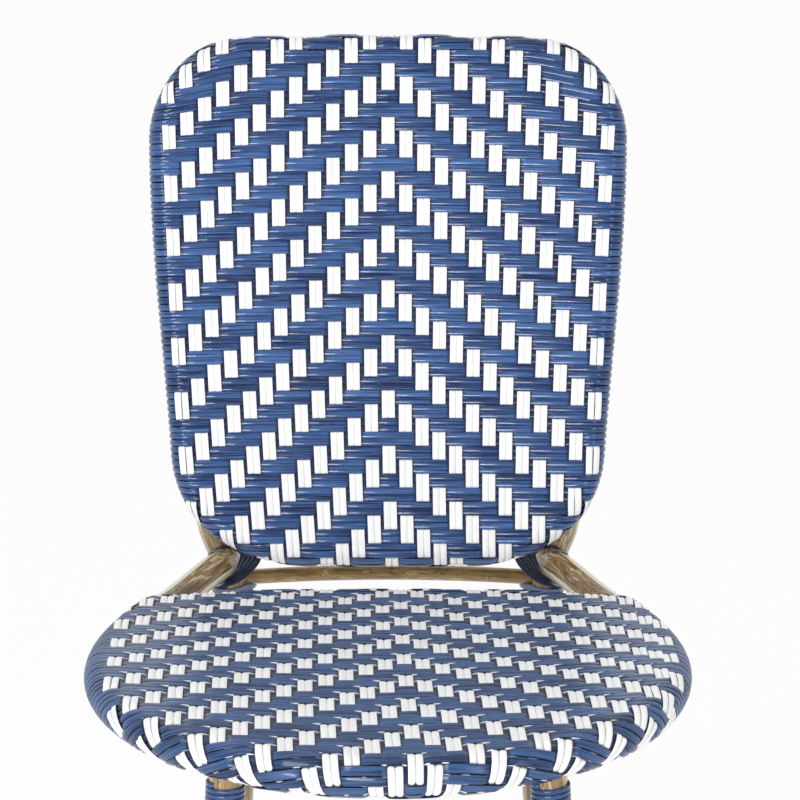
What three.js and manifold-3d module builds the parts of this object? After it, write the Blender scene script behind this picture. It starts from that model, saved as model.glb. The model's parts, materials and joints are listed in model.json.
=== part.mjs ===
// Rattan bistro chair: a frame of faux-bamboo aluminium tube with a woven seat and a woven back.
// Millimetres, +Z up. The chair faces -Y, stands on z = 0, and the origin is on the floor
// under the middle of its outer box.
import * as THREE from 'three';
import Module from 'manifold-3d';
import { mergeVertices } from 'three/addons/utils/BufferGeometryUtils.js';

const wasm = await Module();
wasm.setup();

// Fits
const fitGap = 0.3; // between pieces that touch
const overrun = 3; // how far a cut runs past what it cuts

// Tubes
const frameTubeRadius = 12; // seat tube, posts and legs
const hoopTubeRadius = 10; // inside the woven back
const bowRadius = 6.25; // thin bowed stretchers
const railRadius = 8; // low stretchers
const tubeWall = 1.5;
const tubeSides = 10;
const hoopSides = 8;
const boreSides = 6;

// Seat, seen from above: a half circle in front, and sides that draw in to the rear corners
const seatHeight = 450; // floor to the top of the rear edge
const seatWidth = 452;
const seatWrapThickness = 2.5; // strands wound over the seat tube
const seatSheetThickness = 3;
const seatDrop = 10; // how far the front lies below the rear edge
const seatDropStart = 170; // y where the top starts to fall
const seatFrontCentreY = 39; // centre of the front half circle
const seatRearY = 186; // rear bar
const seatBranchX = 189; // where the side tube leaves the seat's outline
const seatBranchY = 156;
const seatBranchSlope = -0.3; // across per along, at the branch
const seatCornerX = 168; // where the rear corner has become the rear edge
const rearBarInset = 5; // bar's ends short of the side tube's axis
const sideHandleShare = 0.36; // of the side's length, for both ends of its curve
const cornerHandleShare = 0.75; // of the corner's length and width
const quarterHandleShare = 0.575; // a cubic's handle, a little fuller than a quarter circle's

// Back panel, in its own upright plane before it leans
const backWidth = 386;
const backLength = 431;
const backWrapThickness = 2.5;
const backSheetThickness = 3;
const backRecline = THREE.MathUtils.degToRad(13);
const backBow = 10; // how far the side edges stand in front of the middle
const backFootY = 257; // the hoop's plane at its lowest point
const backFootDrop = 1; // its lowest point below the seat's top
const backTopFlatX = 118; // where the top edge turns into its corner
const backWidestHeight = 344;
const backWaistHeight = 92;
const backWaistWidth = 351;
const backBottomFlatX = 62;
const backTopCrown = 2;
const backBottomCrown = 1;
const topCornerHandleShare = 0.6;
const waistHandleShare = 0.55;
const bottomHandleShare = 0.62;
const backSideHandleShare = 0.33;

// Rear posts, from the foot up behind the back panel. Heights are above the floor.
const postFootX = 165;
const postFootY = 318;
const postFlareShares = [ // out and back from the joint to the foot, up from the floor to the joint
    { out: 0.36, back: 0.62, up: 0.22 },
    { out: -0.11, back: 0.29, up: 0.44 },
    { out: -0.32, back: 0.08, up: 0.67 },
    { out: -0.25, back: -0.01, up: 0.88 },
];
const jointX = 132; // post axis where the seat tube's end meets it
const jointY = 275.5;
const jointDrop = 2; // below the seat's top
const stretcherDrop = 14; // rear stretcher's ends, below the joint
const stretcherRise = 5; // its middle, above its ends
const postCollarX = 143.5; // post axis just above the joint
const postCollarHeight = 33; // above the panel's foot, along the panel
const postShoulderX = 152;
const postShoulderHeight = 90;
const postSeatInset = 3; // post axis inside the hoop's axis, from the lower bolt up
const postTopShare = 0.77; // of the panel's length
const boltHeightShares = [0.41, 0.7]; // of the panel's length

// Front legs
const frontLegShare = 0.53; // of the seat ring's half width
const frontLegFlareShares = [ // out and forward from the top to the foot, up from the floor to the top
    { out: 0.13, forward: 0.15, up: 0.72 },
    { out: 0.36, forward: 0.41, up: 0.48 },
    { out: 0.66, forward: 0.7, up: 0.24 },
];
const frontFootShare = 0.78; // of the seat ring's half width
const frontFootReach = 27; // foot in front of the leg's top
const footLift = 11; // leg's end above the floor

// Stretchers
const frontBowShare = 0.73; // of the seat tube's height
const frontBowRise = 26;
const sideRailShare = 0.43; // of the seat tube's height
const crossRailShare = 0.46; // of the side rail's length, from its front end

// Glides, caps and bolts
const glideRadius = 14;
const glideDepth = 15; // below the tube's end, before the floor cuts it
const glideChamfer = 1.5;
const plugDepth = 16;
const capHeight = 5;
const capRimHeight = 1.5;
const boltRadius = 2.5;
const boltHeadRadius = 4.75;
const boltHeadHeight = 2.8;
const boltTip = 4; // past the hoop's axis

// Lashings: one strand wound round a joint
const strandWidth = 2.9;
const strandThickness = 1.9;
const lashPitch = 4.3;
const lashBendRadius = 2.5; // where the strand's end turns into its hole
const lashHoleRadius = 2.3;
const lashSteps = 24;
const lashSides = 6;
const lashBendSteps = 4;
const seatJointLoops = { above: 2, below: 1 };
const stretcherLoops = { above: 0, below: 3 };
const legLoops = { above: 0, below: 2 };
const lashClearance = 1.6; // between the strand's edge and the branch it passes
const stretcherLashDrop = 4; // its lashing's middle, below the stretcher's ends
const lashFit = 0.5; // under the strand, where the tube bends away from it

const ringSteps = 40;
const seatTubeSteps = 36;
const postSteps = 20;
const legSteps = 8;
const bowSteps = 8;
const seatCells = { across: 1, along: 8 };
const backCells = { across: 8, along: 1 };

// Values that follow
const seatWrapRadius = frameTubeRadius + fitGap + seatWrapThickness;
const seatHalf = seatWidth / 2 - seatWrapRadius;
const seatFrontY = seatFrontCentreY - seatHalf;
const seatTubeHeight = seatHeight - seatWrapRadius;
const jointZ = seatHeight - jointDrop;
const frontLegX = frontLegShare * seatHalf;
const frontFootX = frontFootShare * seatHalf;
const frontBowHeight = frontBowShare * seatTubeHeight;
const sideRailHeight = sideRailShare * seatTubeHeight;
const backWrapRadius = hoopTubeRadius + fitGap + backWrapThickness;
const backFootZ = seatHeight - backFootDrop;
const postTopHeight = postTopShare * backLength;
const backHalf = backWidth / 2 - backWrapRadius;
const backWaistHalf = backWaistWidth / 2 - backWrapRadius;
const bowFactor = backBow / (backWidth / 2) ** 2;
const lashRadius = frameTubeRadius + lashFit + strandThickness / 2;

const bamboo = new THREE.Color(0xb89a68);
const blue = new THREE.Color(0x445e8a);
const navy = new THREE.Color(0x2e3f63);
const steel = new THREE.Color(0xb9b4a8);
const nylon = new THREE.Color(0x5a4a38);

const chair = new THREE.Group();
const woven = { roughness: 0.45, metalness: 0 };

function addPiece(name, geometry, color, { roughness, metalness } = woven) {
    const mesh = new THREE.Mesh(geometry, new THREE.MeshStandardMaterial({ color, roughness, metalness }));
    mesh.name = name;
    chair.add(mesh);
}

// Solids and meshes
function toSolid(geometry) {
    const bare = geometry.clone();
    bare.deleteAttribute('normal');
    bare.deleteAttribute('uv');
    const merged = mergeVertices(bare);
    const vertProperties = new Float32Array(merged.attributes.position.array);
    const triVerts = new Uint32Array(merged.index.array);
    return new wasm.Manifold(new wasm.Mesh({ numProp: 3, vertProperties, triVerts }));
}

function toGeometry(solid) {
    const { vertProperties, triVerts } = solid.getMesh();
    const geometry = new THREE.BufferGeometry();
    geometry.setAttribute('position', new THREE.BufferAttribute(vertProperties, 3));
    geometry.setIndex(new THREE.BufferAttribute(triVerts, 1));
    geometry.computeVertexNormals();
    return geometry;
}

// A many-sided section that holds a circle of this radius inside it
const around = (radius, count = tubeSides) => radius / Math.cos(Math.PI / count);
const within = (radius) => radius * Math.cos(Math.PI / tubeSides);
const boreRadius = (radius) => (radius - tubeWall) * Math.cos(Math.PI / boreSides) - fitGap;

function ringPoints(radius, count = tubeSides) {
    const turn = (2 * Math.PI) / count;
    return Array.from({ length: count }, (_, i) =>
        new THREE.Vector2(radius * Math.cos(i * turn), radius * Math.sin(i * turn)));
}

function rod(curve, radius, steps) {
    const section = new THREE.Shape(ringPoints(radius));
    return toSolid(new THREE.ExtrudeGeometry(section, { steps, extrudePath: curve, bevelEnabled: false }));
}

function tube(curve, radius, steps) {
    const section = new THREE.Shape(ringPoints(radius));
    section.holes.push(new THREE.Path(ringPoints(radius - tubeWall, boreSides)));
    return toSolid(new THREE.ExtrudeGeometry(section, { steps, extrudePath: curve, bevelEnabled: false }));
}

// Curves
class LiftedCurve extends THREE.Curve {
    constructor(flat, lift) {
        super();
        this.flat = flat;
        this.lift = lift;
    }

    getPoint(t, target = new THREE.Vector3()) {
        return target.copy(this.lift(this.flat.getPoint(t)));
    }
}

// Steps along this curve crowd where its own points do, round its bends
class PacedCurve extends LiftedCurve {
    getSpacedPoints(divisions) {
        return this.getPoints(divisions);
    }

    getTangentAt(t, target) {
        return this.getTangent(t, target);
    }
}

const point = (x, y) => new THREE.Vector2(x, y);
const mirrored = (v) => point(-v.x, v.y);
const segment = (a, b, c, d) => new THREE.CubicBezierCurve(a, b, c, d);

function quarter(start, corner, end) {
    const a = start.clone().lerp(corner, quarterHandleShare);
    const b = end.clone().lerp(corner, quarterHandleShare);
    return segment(start, a, b, end);
}

function pathOf(curves) {
    const path = new THREE.CurvePath();
    curves.forEach((curve) => path.add(curve));
    return path;
}

// The right half runs away from the middle, so its mirror image comes first, turned round
function mirrorHalf(right) {
    const left = right.map((c) => segment(mirrored(c.v3), mirrored(c.v2), mirrored(c.v1), mirrored(c.v0)));
    return pathOf([...left.reverse(), ...right]);
}

const mirrorX = new THREE.Matrix4().makeScale(-1, 1, 1);
const acrossCurve = (curve) => new LiftedCurve(curve, (p) => p.clone().applyMatrix4(mirrorX));
const sides = [
    { side: 'right', flip: (curve) => curve, sign: 1 },
    { side: 'left', flip: acrossCurve, sign: -1 },
];

// Seat curves
function dropAt(y) {
    const run = Math.max(0, seatDropStart - y) / (seatDropStart - seatFrontY);
    return seatDrop * run * run;
}

const tubeHeightAt = (y) => seatTubeHeight - dropAt(y);

function seatFrontAndSide() {
    const front = quarter(point(0, seatFrontY), point(seatHalf, seatFrontY), point(seatHalf, seatFrontCentreY));
    const handle = sideHandleShare * (seatBranchY - seatFrontCentreY);
    const side = segment(
        point(seatHalf, seatFrontCentreY),
        point(seatHalf, seatFrontCentreY + handle),
        point(seatBranchX - seatBranchSlope * handle, seatBranchY - handle),
        point(seatBranchX, seatBranchY),
    );
    return [front, side];
}

function seatRing() {
    const rise = seatRearY - seatBranchY;
    const reach = seatBranchX - seatCornerX;
    const handle = cornerHandleShare * rise;
    const corner = segment(
        point(seatBranchX, seatBranchY),
        point(seatBranchX + seatBranchSlope * handle, seatBranchY + handle),
        point(seatCornerX + cornerHandleShare * reach, seatRearY),
        point(seatCornerX, seatRearY),
    );
    const edge = segment(
        point(seatCornerX, seatRearY),
        point(seatCornerX / 2, seatRearY),
        point(seatCornerX / 2, seatRearY),
        point(0, seatRearY),
    );
    return mirrorHalf([...seatFrontAndSide(), corner, edge]);
}

function seatTubePath() {
    const run = jointY - seatBranchY;
    const handle = sideHandleShare * run;
    const slope = (jointX - seatBranchX) / run;
    const rail = segment(
        point(seatBranchX, seatBranchY),
        point(seatBranchX + seatBranchSlope * handle, seatBranchY + handle),
        point(jointX - slope * handle, jointY - handle),
        point(jointX, jointY),
    );
    return mirrorHalf([...seatFrontAndSide(), rail]);
}

const onSeat = (p) => new THREE.Vector3(p.x, p.y, tubeHeightAt(p.y));

// Behind the seat's rear edge the tube climbs to the posts
function climbToPost(p) {
    const share = THREE.MathUtils.smoothstep(p.y, seatRearY, jointY);
    return onSeat(p).add(new THREE.Vector3(0, 0, share * (jointZ - seatTubeHeight)));
}

const seatRingFlat = seatRing();
const seatRingCurve = new LiftedCurve(seatRingFlat, onSeat);
const seatTubeCurve = new LiftedCurve(seatTubePath(), climbToPost);
const rearBarHalf = seatBranchX + seatBranchSlope * (seatRearY - seatBranchY) - rearBarInset;
const rearBarCurve = new THREE.LineCurve3(
    new THREE.Vector3(-rearBarHalf, seatRearY, seatTubeHeight),
    new THREE.Vector3(rearBarHalf, seatRearY, seatTubeHeight),
);

// Back panel curves, in the panel's own plane: x across, z up along the panel
const topZ = backLength - backWrapRadius;
const waist = point(backWaistHalf, backWaistHeight);
const widest = point(backHalf, backWidestHeight);

function hoopSide() {
    const handle = backSideHandleShare * (backWidestHeight - backWaistHeight);
    const slope = (backHalf - backWaistHalf) / (backWidestHeight - backWaistHeight);
    return segment(
        waist,
        point(backWaistHalf + slope * handle, backWaistHeight + handle),
        point(backHalf, backWidestHeight - handle),
        widest,
    );
}

function hoopRing() {
    const bottomZ = backWrapRadius;
    const slope = (backHalf - backWaistHalf) / (backWidestHeight - backWaistHeight);
    const drop = waistHandleShare * (backWaistHeight - bottomZ);
    const bottomFlat = segment(
        point(0, bottomZ),
        point(backBottomFlatX / 2, bottomZ),
        point(backBottomFlatX / 2, bottomZ + backBottomCrown),
        point(backBottomFlatX, bottomZ + backBottomCrown),
    );
    const bottomCorner = segment(
        point(backBottomFlatX, bottomZ + backBottomCrown),
        point(backBottomFlatX + bottomHandleShare * (backWaistHalf - backBottomFlatX), bottomZ + backBottomCrown),
        point(backWaistHalf - slope * drop, backWaistHeight - drop),
        waist,
    );
    const topCorner = segment(
        widest,
        point(backHalf, backWidestHeight + topCornerHandleShare * (topZ - backWidestHeight)),
        point(backTopFlatX + (1 - topCornerHandleShare) * (backHalf - backTopFlatX), topZ - backTopCrown),
        point(backTopFlatX, topZ - backTopCrown),
    );
    const topFlat = segment(
        point(backTopFlatX, topZ - backTopCrown),
        point(backTopFlatX / 2, topZ - backTopCrown),
        point(backTopFlatX / 2, topZ),
        point(0, topZ),
    );
    return mirrorHalf([bottomFlat, bottomCorner, hoopSide(), topCorner, topFlat]);
}

const bowAt = (x) => -bowFactor * x * x;
const hoopFlat = hoopRing();
const hoopCurve = new LiftedCurve(hoopFlat, (p) => new THREE.Vector3(p.x, bowAt(p.x), p.y));
const panelPlace = new THREE.Matrix4().makeRotationX(-backRecline).setPosition(0, backFootY, backFootZ);
const onPanel = (x, depth, height) => new THREE.Vector3(x, depth, height).applyMatrix4(panelPlace);

// x of the hoop's side at a height along the panel
function hoopXAt(height) {
    const side = hoopSide();
    let low = 0;
    let high = 1;
    while (high - low > Number.EPSILON * tubeSides) {
        const middle = (low + high) / 2;
        if (side.getPoint(middle).y < height) {
            low = middle;
        } else {
            high = middle;
        }
    }
    return side.getPoint(low).x;
}

// Rear posts
const postDepth = backWrapRadius + frameTubeRadius + fitGap;
const boltHeights = boltHeightShares.map((share) => share * backLength);

function postSeatPoint(height) {
    const x = hoopXAt(height) - postSeatInset;
    return onPanel(x, bowAt(x + postSeatInset) + postDepth, height);
}

function postCurve() {
    const along = (x, height) => onPanel(x, bowAt(x) + postDepth, height);
    return new THREE.CatmullRomCurve3([
        new THREE.Vector3(postFootX, postFootY, footLift),
        ...postFlareShares.map(({ out, back, up }) => new THREE.Vector3(
            jointX + out * (postFootX - jointX),
            jointY + back * (postFootY - jointY),
            up * jointZ,
        )),
        new THREE.Vector3(jointX, jointY, jointZ),
        along(postCollarX, postCollarHeight),
        along(postShoulderX, postShoulderHeight),
        ...boltHeights.map(postSeatPoint),
        postSeatPoint(postTopHeight),
    ]);
}

const rightPost = postCurve();
const paced = (curve) => new PacedCurve(curve, (p) => p);

// Front legs
const frontLegY = seatFrontCentreY - Math.sqrt(seatHalf ** 2 - frontLegX ** 2);

function frontLegCurve() {
    const top = tubeHeightAt(frontLegY);
    return new THREE.CatmullRomCurve3([
        new THREE.Vector3(frontLegX, frontLegY, top),
        ...frontLegFlareShares.map(({ out, forward, up }) => new THREE.Vector3(
            frontLegX + out * (frontFootX - frontLegX),
            frontLegY - forward * frontFootReach,
            up * top,
        )),
        new THREE.Vector3(frontFootX, frontLegY - frontFootReach, footLift),
    ]);
}

const rightLeg = frontLegCurve();

// The point of a curve at a height above the floor
function shareAtHeight(curve, z) {
    let low = 0;
    let high = 1;
    const rising = curve.getPointAt(high).z > curve.getPointAt(low).z;
    while (high - low > Number.EPSILON * tubeSides) {
        const middle = (low + high) / 2;
        if (curve.getPointAt(middle).z < z === rising) {
            low = middle;
        } else {
            high = middle;
        }
    }
    return low;
}

const atHeight = (curve, z) => curve.getPointAt(shareAtHeight(curve, z));

// A tube that bows up between its ends
function bowCurve(a, b, rise) {
    const middle = a.clone().lerp(b, 1 / 2);
    return new THREE.QuadraticBezierCurve3(a, middle.add(new THREE.Vector3(0, 0, 2 * rise)), b);
}

const across = (p) => p.clone().applyMatrix4(mirrorX);
const stretcherZ = jointZ - stretcherDrop;
const stretcherEnd = atHeight(rightPost, stretcherZ);
const rearBow = bowCurve(across(stretcherEnd), stretcherEnd, stretcherRise);
const frontBowEnd = atHeight(rightLeg, frontBowHeight);
const frontBow = bowCurve(across(frontBowEnd), frontBowEnd, frontBowRise);
const rightRail = new THREE.LineCurve3(atHeight(rightLeg, sideRailHeight), atHeight(rightPost, sideRailHeight));
const crossEnd = rightRail.getPointAt(crossRailShare);
const crossRail = new THREE.LineCurve3(across(crossEnd), crossEnd);

// Cutters that leave the fit gap round a tube
const cutterOf = (curve, radius, steps) => rod(curve, around(radius + fitGap), steps);
const seatTubeCutter = cutterOf(seatTubeCurve, frameTubeRadius, seatTubeSteps);
const both = (make) => sides.map(({ flip }) => make(flip));
const postCutters = both((flip) => cutterOf(paced(flip(rightPost)), frameTubeRadius, postSteps));
const legCutters = both((flip) => cutterOf(flip(rightLeg), frameTubeRadius, legSteps));
const railCutters = both((flip) => cutterOf(flip(rightRail), railRadius, 1));
const cutBy = (solid, cutters) => cutters.reduce((left, cutter) => left.subtract(cutter), solid);

// A sheet under a flat outline, bent by a height function
function sheetUnder(outline, top, thickness, cells, bend) {
    const box = new THREE.Box2().setFromPoints(outline);
    const size = box.getSize(new THREE.Vector2());
    const middle = box.getCenter(new THREE.Vector2());
    const grid = new THREE.BoxGeometry(size.x, size.y, thickness, cells.across, cells.along, 1);
    grid.translate(middle.x, middle.y, top - thickness / 2);
    const places = grid.attributes.position;
    for (let i = 0; i < places.count; i += 1) {
        places.setZ(i, places.getZ(i) + bend(places.getX(i), places.getY(i)));
    }
    const reach = thickness + Math.abs(top) + seatDrop + backBow + overrun;
    const prism = new THREE.ExtrudeGeometry(new THREE.Shape(outline), { depth: 2 * reach, bevelEnabled: false });
    prism.translate(0, 0, -reach);
    return toSolid(grid).intersect(toSolid(prism));
}

// Seat pieces
function seatTube() {
    return cutBy(tube(seatTubeCurve, frameTubeRadius, seatTubeSteps), postCutters);
}

function seatRearBar() {
    return tube(rearBarCurve, frameTubeRadius, 1).subtract(seatTubeCutter);
}

function seatWeave() {
    const ring = toSolid(new THREE.TubeGeometry(seatRingCurve, ringSteps, seatWrapRadius, tubeSides, true));
    const outline = seatRingFlat.getSpacedPoints(ringSteps).slice(1);
    const bend = (x, y) => -dropAt(y);
    const sheet = sheetUnder(outline, seatHeight, seatSheetThickness, seatCells, bend);
    const slot = sheetUnder(outline, seatTubeHeight, seatWrapRadius + overrun, seatCells, bend);
    const bar = cutterOf(rearBarCurve, frameTubeRadius, 1);
    return cutBy(ring.add(sheet).subtract(slot), [seatTubeCutter, bar, ...legCutters]);
}

// Back pieces, made in the panel's own plane. The sheet is drawn face up and then stood on end.
const standUp = new THREE.Matrix4().makeRotationX(Math.PI / 2);

function stood(solid) {
    return toSolid(toGeometry(solid).applyMatrix4(standUp));
}

const boltPlaces = boltHeights.map((height) => {
    const x = hoopXAt(height);
    return { x, depth: bowAt(x), height };
});

function boltAxis({ x, depth, height }) {
    const inner = new THREE.Vector3(x, depth, height);
    const outer = new THREE.Vector3(x - postSeatInset, depth + postDepth, height);
    return { inner, direction: outer.clone().sub(inner).normalize(), span: outer.distanceTo(inner) };
}

function pinAlong(start, direction, length, radius) {
    const end = start.clone().addScaledVector(direction, length);
    return rod(new THREE.LineCurve3(start, end), radius, 1);
}

// Bolt holes in the panel's own place, from the hoop's axis out through the post
function boltHoles(sign, place) {
    return boltPlaces.map((spot) => {
        const { inner, direction, span } = boltAxis(spot);
        const start = inner.multiply(new THREE.Vector3(sign, 1, 1));
        const along = direction.multiply(new THREE.Vector3(sign, 1, 1));
        start.applyMatrix4(place);
        along.transformDirection(place);
        return pinAlong(start, along, span + frameTubeRadius + overrun, around(boltRadius + fitGap));
    });
}

const panelItself = new THREE.Matrix4();

function hoopRingSolid(radius, count = tubeSides) {
    return toSolid(new THREE.TubeGeometry(hoopCurve, ringSteps, radius, count, true));
}

function backHoop() {
    const bore = hoopRingSolid(hoopTubeRadius - tubeWall, boreSides);
    const hoop = hoopRingSolid(hoopTubeRadius, hoopSides).subtract(bore);
    return cutBy(hoop, sides.flatMap(({ sign }) => boltHoles(sign, panelItself)));
}

function backWeave() {
    const outline = hoopFlat.getSpacedPoints(ringSteps).slice(1);
    const bend = (x) => -bowAt(x);
    const sheet = stood(sheetUnder(outline, backWrapRadius, backSheetThickness, backCells, bend));
    const slot = stood(sheetUnder(outline, 0, backWrapRadius + overrun, backCells, bend));
    const holes = sides.flatMap(({ sign }) => boltHoles(sign, panelItself));
    const wrap = hoopRingSolid(backWrapRadius).add(sheet).subtract(slot);
    return cutBy(wrap, [hoopRingSolid(around(hoopTubeRadius + fitGap, hoopSides), hoopSides), ...holes]);
}

function lathe(points) {
    return toSolid(new THREE.LatheGeometry(points, tubeSides));
}

// A solid turned about +Y is stood at a point with +Y along a direction
function placed(solid, at, direction) {
    const turn = new THREE.Quaternion().setFromUnitVectors(new THREE.Vector3(0, 1, 0), direction);
    const place = new THREE.Matrix4().compose(at, turn, new THREE.Vector3(1, 1, 1));
    return toSolid(toGeometry(solid).applyMatrix4(place));
}

function bolt(sign, spot) {
    const { inner, direction, span } = boltAxis(spot);
    const seat = span + frameTubeRadius + fitGap;
    const profile = [
        point(0, -boltTip),
        point(boltRadius, -boltTip),
        point(boltRadius, seat),
        point(boltHeadRadius, seat),
        point(boltHeadRadius, seat + boltHeadHeight / 2),
        point(boltHeadRadius / 2, seat + boltHeadHeight),
        point(0, seat + boltHeadHeight),
    ];
    const flip = new THREE.Vector3(sign, 1, 1);
    const start = inner.multiply(flip).applyMatrix4(panelPlace);
    return placed(lathe(profile), start, direction.multiply(flip).transformDirection(panelPlace));
}

// The plug's stem fills the tube's bore, and its cap closes the tube's end
function plug(radius, height, rim, edge) {
    return lathe([
        point(0, -plugDepth),
        point(boreRadius(frameTubeRadius), -plugDepth),
        point(boreRadius(frameTubeRadius), fitGap),
        point(radius, fitGap),
        point(radius, fitGap + rim),
        point(radius - edge, fitGap + height),
        point(0, fitGap + height),
    ]);
}

function postCap(curve) {
    const cap = plug(within(frameTubeRadius), capHeight, capRimHeight, frameTubeRadius / 2);
    return placed(cap, curve.getPointAt(1), curve.getTangentAt(1));
}

function glide(end, direction) {
    const whole = placed(plug(glideRadius, glideDepth, glideDepth - glideChamfer, glideChamfer), end, direction);
    const under = new THREE.BoxGeometry(4 * glideRadius, 4 * glideRadius, 4 * glideDepth);
    under.translate(end.x, end.y, -2 * glideDepth);
    return whole.subtract(toSolid(under));
}

// One strand wound down a tube past a branch: the first loops go over the branch, the rest under
// it. Each end turns into a hole in the tube and runs straight in by one strand width.
function lashing(curve, middle, toward, branchRadius, { above, below }) {
    const length = curve.getLength();
    const start = shareAtHeight(curve, middle) * length;
    const climb = Math.sign(curve.getTangentAt(1 / 2).z);
    const lift = branchRadius > 0 ? branchRadius + lashClearance + (strandWidth - lashPitch) / 2 : 0;
    const count = (above + below) * lashSteps;
    const spot = (i) => {
        const turns = i / lashSteps;
        const angle = Math.PI + 2 * Math.PI * turns;
        const side = turns < above ? 1 : -1;
        const height = lashPitch * (above - turns) + (side * lift * (1 + Math.cos(angle))) / 2;
        const share = (start + climb * height) / length;
        const axis = curve.getTangentAt(share).multiplyScalar(climb);
        const near = toward.clone().addScaledVector(axis, -toward.dot(axis)).normalize();
        const beside = axis.clone().cross(near);
        const out = near.multiplyScalar(Math.cos(angle)).addScaledVector(beside, Math.sin(angle));
        return { at: curve.getPointAt(share).addScaledVector(out, lashRadius), out };
    };
    const turns = Array.from({ length: count + 1 }, (_, i) => spot(i));
    const tail = (end, before) => {
        const along = end.at.clone().sub(before.at).normalize();
        const bend = Array.from({ length: lashBendSteps }, (_, i) => {
            const turn = ((i + 1) * Math.PI) / 2 / lashBendSteps;
            return end.at.clone()
                .addScaledVector(along, lashBendRadius * Math.sin(turn))
                .addScaledVector(end.out, lashBendRadius * (Math.cos(turn) - 1));
        });
        const tip = bend.at(-1).clone().addScaledVector(end.out, -strandWidth);
        return [...bend, tip];
    };
    const head = tail(turns[0], turns[1]);
    const foot = tail(turns.at(-1), turns.at(-2));
    const line = [...head.reverse(), ...turns.map(({ at }) => at), ...foot];
    const outs = [
        ...head.map(() => turns[0].out),
        ...turns.map(({ out }) => out),
        ...foot.map(() => turns.at(-1).out),
    ];
    const holes = [
        pinAlong(head[0], turns[0].out, 2 * strandWidth + overrun, lashHoleRadius),
        pinAlong(foot.at(-1), turns.at(-1).out, 2 * strandWidth + overrun, lashHoleRadius),
    ];
    return { strand: strandAlong(line, outs), holes };
}

// A flat strand of six sides along a line of points, one ring of corners at each point
function strandAlong(line, outs) {
    const rings = line.map((at, i) => {
        const before = line[Math.max(i - 1, 0)];
        const after = line[Math.min(i + 1, line.length - 1)];
        const along = after.clone().sub(before).normalize();
        const wide = outs[i].clone().cross(line[i + 1 < line.length ? i + 1 : i].clone()
            .sub(line[i + 1 < line.length ? i : i - 1]).normalize());
        if (i < lashBendSteps + 1 || i > line.length - 2 - lashBendSteps) {
            wide.copy(wideAtEnd(line, outs, i));
        }
        wide.addScaledVector(along, -wide.dot(along)).normalize();
        const thick = along.clone().cross(wide);
        return Array.from({ length: lashSides }, (_, k) => {
            const turn = (k * 2 * Math.PI) / lashSides;
            return at.clone()
                .addScaledVector(wide, (strandWidth / 2) * Math.cos(turn))
                .addScaledVector(thick, (strandThickness / 2) * Math.sin(turn));
        });
    });
    return { geometry: ringsToGeometry(rings), gap: leastGap(rings) };
}

// In the turned ends the strand keeps the width direction of the loop that it leaves
function wideAtEnd(line, outs, i) {
    const from = i < lashSteps ? lashBendSteps + 1 : line.length - 3 - lashBendSteps;
    return outs[from].clone().cross(line[from + 1].clone().sub(line[from]).normalize());
}

function ringsToGeometry(rings) {
    const sidesOf = rings[0].length;
    const indices = [];
    for (let i = 0; i + 1 < rings.length; i += 1) {
        for (let k = 0; k < sidesOf; k += 1) {
            const a = i * sidesOf + k;
            const b = i * sidesOf + ((k + 1) % sidesOf);
            indices.push(a, b, b + sidesOf, a, b + sidesOf, a + sidesOf);
        }
    }
    const last = (rings.length - 1) * sidesOf;
    for (let k = 1; k + 1 < sidesOf; k += 1) {
        indices.push(0, k + 1, k, last, last + k, last + k + 1);
    }
    const geometry = new THREE.BufferGeometry().setFromPoints(rings.flat());
    geometry.setIndex(indices);
    geometry.computeVertexNormals();
    return geometry;
}

// Least distance between corners that are more than half a loop apart
function leastGap(rings) {
    let least = Infinity;
    for (let i = 0; i < rings.length; i += 1) {
        for (let j = i + lashSteps / 2; j < rings.length; j += 1) {
            for (const a of rings[i]) {
                for (const b of rings[j]) {
                    least = Math.min(least, a.distanceTo(b));
                }
            }
        }
    }
    return least;
}

// Where each lashing sits: the tube, the height of its middle and the branch that it goes past
const railDirection = seatTubeCurve.getTangentAt(1).negate();
const lashJobs = [
    { name: 'seat_joint_lashing', curve: rightPost, middle: jointZ, toward: railDirection,
        radius: frameTubeRadius, loops: seatJointLoops },
    { name: 'stretcher_lashing', curve: rightPost, middle: stretcherZ - stretcherLashDrop,
        toward: new THREE.Vector3(-1, 0, 0), radius: bowRadius, loops: stretcherLoops },
    { name: 'front_leg_lashing', curve: rightLeg,
        middle: tubeHeightAt(frontLegY) - seatWrapRadius - strandWidth, toward: new THREE.Vector3(0, -1, 0),
        radius: 0, loops: legLoops },
];

const lashings = sides.flatMap(({ side, flip, sign }) => lashJobs.map((job) => {
    const toward = job.toward.clone().multiply(new THREE.Vector3(sign, 1, 1));
    const { strand, holes } = lashing(flip(job.curve), job.middle, toward, job.radius, job.loops);
    console.log(`${side}_${job.name}: least gap to itself ${strand.gap.toFixed(2)} mm`);
    return { name: `${side}_${job.name}`, side, tube: job.curve, geometry: strand.geometry, holes };
}));

const lashHoles = (side, curve) => lashings
    .filter((lash) => lash.side === side && lash.tube === curve)
    .flatMap(({ holes }) => holes);

// Frame pieces
function post(side, flip, sign) {
    const whole = tube(paced(flip(rightPost)), frameTubeRadius, postSteps);
    return cutBy(whole, [...boltHoles(sign, panelPlace), ...lashHoles(side, rightPost)]);
}

function frontLeg(side, flip) {
    const whole = tube(flip(rightLeg), frameTubeRadius, legSteps);
    return cutBy(whole, [seatTubeCutter, ...lashHoles(side, rightLeg)]);
}

function sideRail(flip) {
    return cutBy(tube(flip(rightRail), railRadius, 1), [...postCutters, ...legCutters]);
}

const metal = { roughness: 0.35, metalness: 0.2 };
const shiny = { roughness: 0.3, metalness: 0.9 };

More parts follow.
